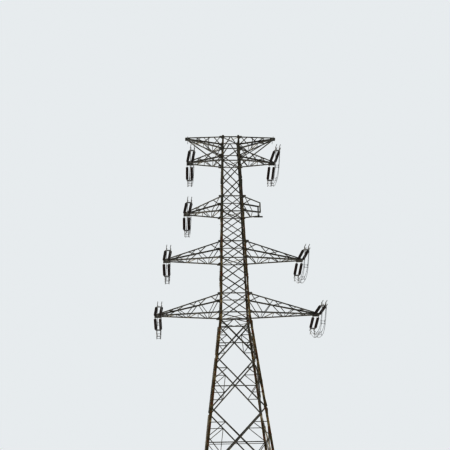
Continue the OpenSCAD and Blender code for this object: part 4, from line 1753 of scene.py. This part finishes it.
@dataclass
class LegDetails:
    """Splice angles on the legs, step bolts up one leg, and the base plates on the piers."""

    splices: tuple[float, ...] = (5.0, 9.9, 14.6, 19.9, 25.3, 30.6)
    splice_len: float = 0.62
    splice_w: float = 0.095
    splice_t: float = 0.012
    splice_rows: tuple[float, float, int] = (0.06, 0.94, 7)
    splice_row_in: float = 0.058
    step_from: float = 3.2
    step_to: float = 36.2
    step_pitch: float = 0.38
    step_len: float = 0.14
    step_in: float = 0.055
    step_sides: int = 8
    base_half: float = 0.21
    base_t: float = 0.02
    base_chamfer: float = 0.003
    base_in: float = 0.09
    base_sunk: float = 0.002
    anchor_half: float = 0.165

    def corner(self, z: Array) -> Array:
        """Corner line of the near right leg."""
        w = FORM.half_w(z)
        return np.stack([w, -w, z], -1)

    def splice(self, builder: Builder, bolts: BoltRows) -> None:
        """Cover angles wrapped round the outside of each leg, with a row of bolts on both flanges.

        Args:
            builder: gathers the angles.
            bolts: gathers the bolts.
        """
        t, w = self.splice_t, self.splice_w
        rows = np.linspace(*self.splice_rows)[:, None]
        for z in self.splices:
            p, q = self.corner(np.array([z, z + self.splice_len]))
            along = unit(q - p)
            k = FORM.body_k if z < FORM.waist_z else FORM.mast_k
            near, right = unit(k * Z - Y), unit(k * Z + X)
            e1, e2 = unit(np.cross(near, along)), unit(np.cross(along, right))
            outer = [t * (near + right), w * e1 + t * near]
            section = np.array([*outer, w * e1, 0 * X, w * e2, w * e2 + t * right])
            angle = l_bars((p + section)[None], (q + section)[None])
            middle = p + (q - p) * rows
            heads = [(middle + e * self.splice_row_in + way * t, way) for e, way in ((e1, near), (e2, right))]
            for sx, sy in CORNERS:
                signs = np.array([sx, sy, 1.0])
                builder.add(mirrored(angle, signs))
                for spots, way in heads:
                    bolts.add(spots * signs, way * signs)

    def steps(self, builder: Builder) -> None:
        """Step bolts up the far left leg, by turns on its two outer faces.

        Args:
            builder: gathers the step bolts.
        """
        z = np.arange(self.step_from, self.step_to, self.step_pitch)
        spots = self.corner(z) * [-1, -1, 1]
        odd = np.arange(len(z))[:, None] % 2 == 1
        shift = self.step_in * np.where(odd, -Y, X)
        end = self.step_len
        peg = turned([(0.017, 0.0), (0.017, 0.012), (0.008, 0.013), (0.008, end),
                      (0.014, end + 0.001), (0.014, end + 0.012)], self.step_sides)
        builder.add_copies(peg, axes_from(np.where(odd, -X, Y), Z), spots + shift)

    def bases(self, builder: Builder, bolts: BoltRows) -> None:
        """Collar plates where the legs enter the piers, with four anchor bolts each.

        Args:
            builder: gathers the plates.
            bolts: gathers the anchor bolts.
        """
        c = float(FORM.half_w(FORM.pier_h)) - self.base_in
        shape = plate(self.base_half * np.array(CORNERS), self.base_t, self.base_chamfer)
        anchors = np.array([[a * self.anchor_half, b * self.anchor_half, self.base_t] for a, b in CORNERS])
        for sx, sy in CORNERS:
            origin = np.array([sx * c, sy * c, FORM.pier_h - self.base_sunk])
            builder.add(Shape(shape.points + origin, shape.faces))
            bolts.add(origin + anchors, Z)

    def build(self, finishes: Finishes) -> None:
        """Makes splices, steps and base plates.

        Args:
            finishes: the tower's materials.
        """
        splices, steps, bases = Builder("leg_splices"), Builder("step_bolts"), Builder("leg_base_plates")
        bolts, anchors = BoltRows(), BoltRows(across=0.05, head=0.03)
        self.splice(splices, bolts)
        self.steps(steps)
        self.bases(bases, anchors)
        splices.build(finishes.leg, "leg_steel")
        steps.build(finishes.bolt, "galvanised_steel")
        bases.build(finishes.plate, "galvanised_steel")
        bolts.build("splice_bolts", finishes)
        anchors.build("anchor_bolts", finishes)


@dataclass
class Piers:
    """Four cast piers with chamfered edges and a top that sheds water."""

    chamfer: float = 0.04
    fall: float = 0.03
    flat: float = 0.33
    joints: tuple[float, ...] = (0.0, 0.2, 0.4)
    centre_in: float = 0.06

    def ring(self, half: float, z: float) -> Array:
        """Square with cut corners: a corner's two points and a middle point for each side, anticlockwise.

        Args:
            half: half width of the square.
            z: height.

        Returns:
            (12, 3) points.
        """
        a, b = half, half - self.chamfer
        side = np.array([[b, -a, z], [a, -b, z], [a, 0, z]])
        return np.concatenate([side @ turn_z(math.pi / 2 * quarter).T for quarter in range(4)])

    def build(self, finishes: Finishes) -> None:
        """Rings from the ground to the top: straight sides, a chamfer, a slight fall and the flat middle.

        Args:
            finishes: the tower's materials.
        """
        w, brim = FORM.pier_w / 2, FORM.pier_h - self.fall
        rows = [(w, z) for z in (*self.joints, brim - self.chamfer)]
        rows += [(w - self.chamfer, brim), (self.flat, FORM.pier_h)]
        shape = lofted(np.stack([self.ring(half, z) for half, z in rows]))
        centre = float(FORM.half_w(FORM.pier_h)) - self.centre_in
        spots = np.array([[sx * centre, sy * centre, 0.0] for sx, sy in CORNERS])
        builder = Builder("cast_piers").add_copies(shape, np.repeat([np.eye(3)], 4, 0), spots)
        piers = builder.build(finishes.concrete, "concrete", smooth_angle=30)
        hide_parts("foundation_piers")


# PUTTING IT TOGETHER


def main() -> None:
    """Builds the scene in order and reports each step."""
    logging.basicConfig(level=logging.INFO, format="%(message)s", force=True)
    Studio().build()
    finishes = Finishes()
    finishes.dress_solids(frame["nodes"])
    for level in LEVELS:
        Jumpers(level).build(finishes)
        DiscStrings(level).build(finishes)
    FaceJoints().build(finishes)
    FineBars().build(finishes)
    ArmBolts().build(finishes)
    LegDetails().build(finishes)
    Piers().build(finishes)


if __name__ == "__main__":
    main()
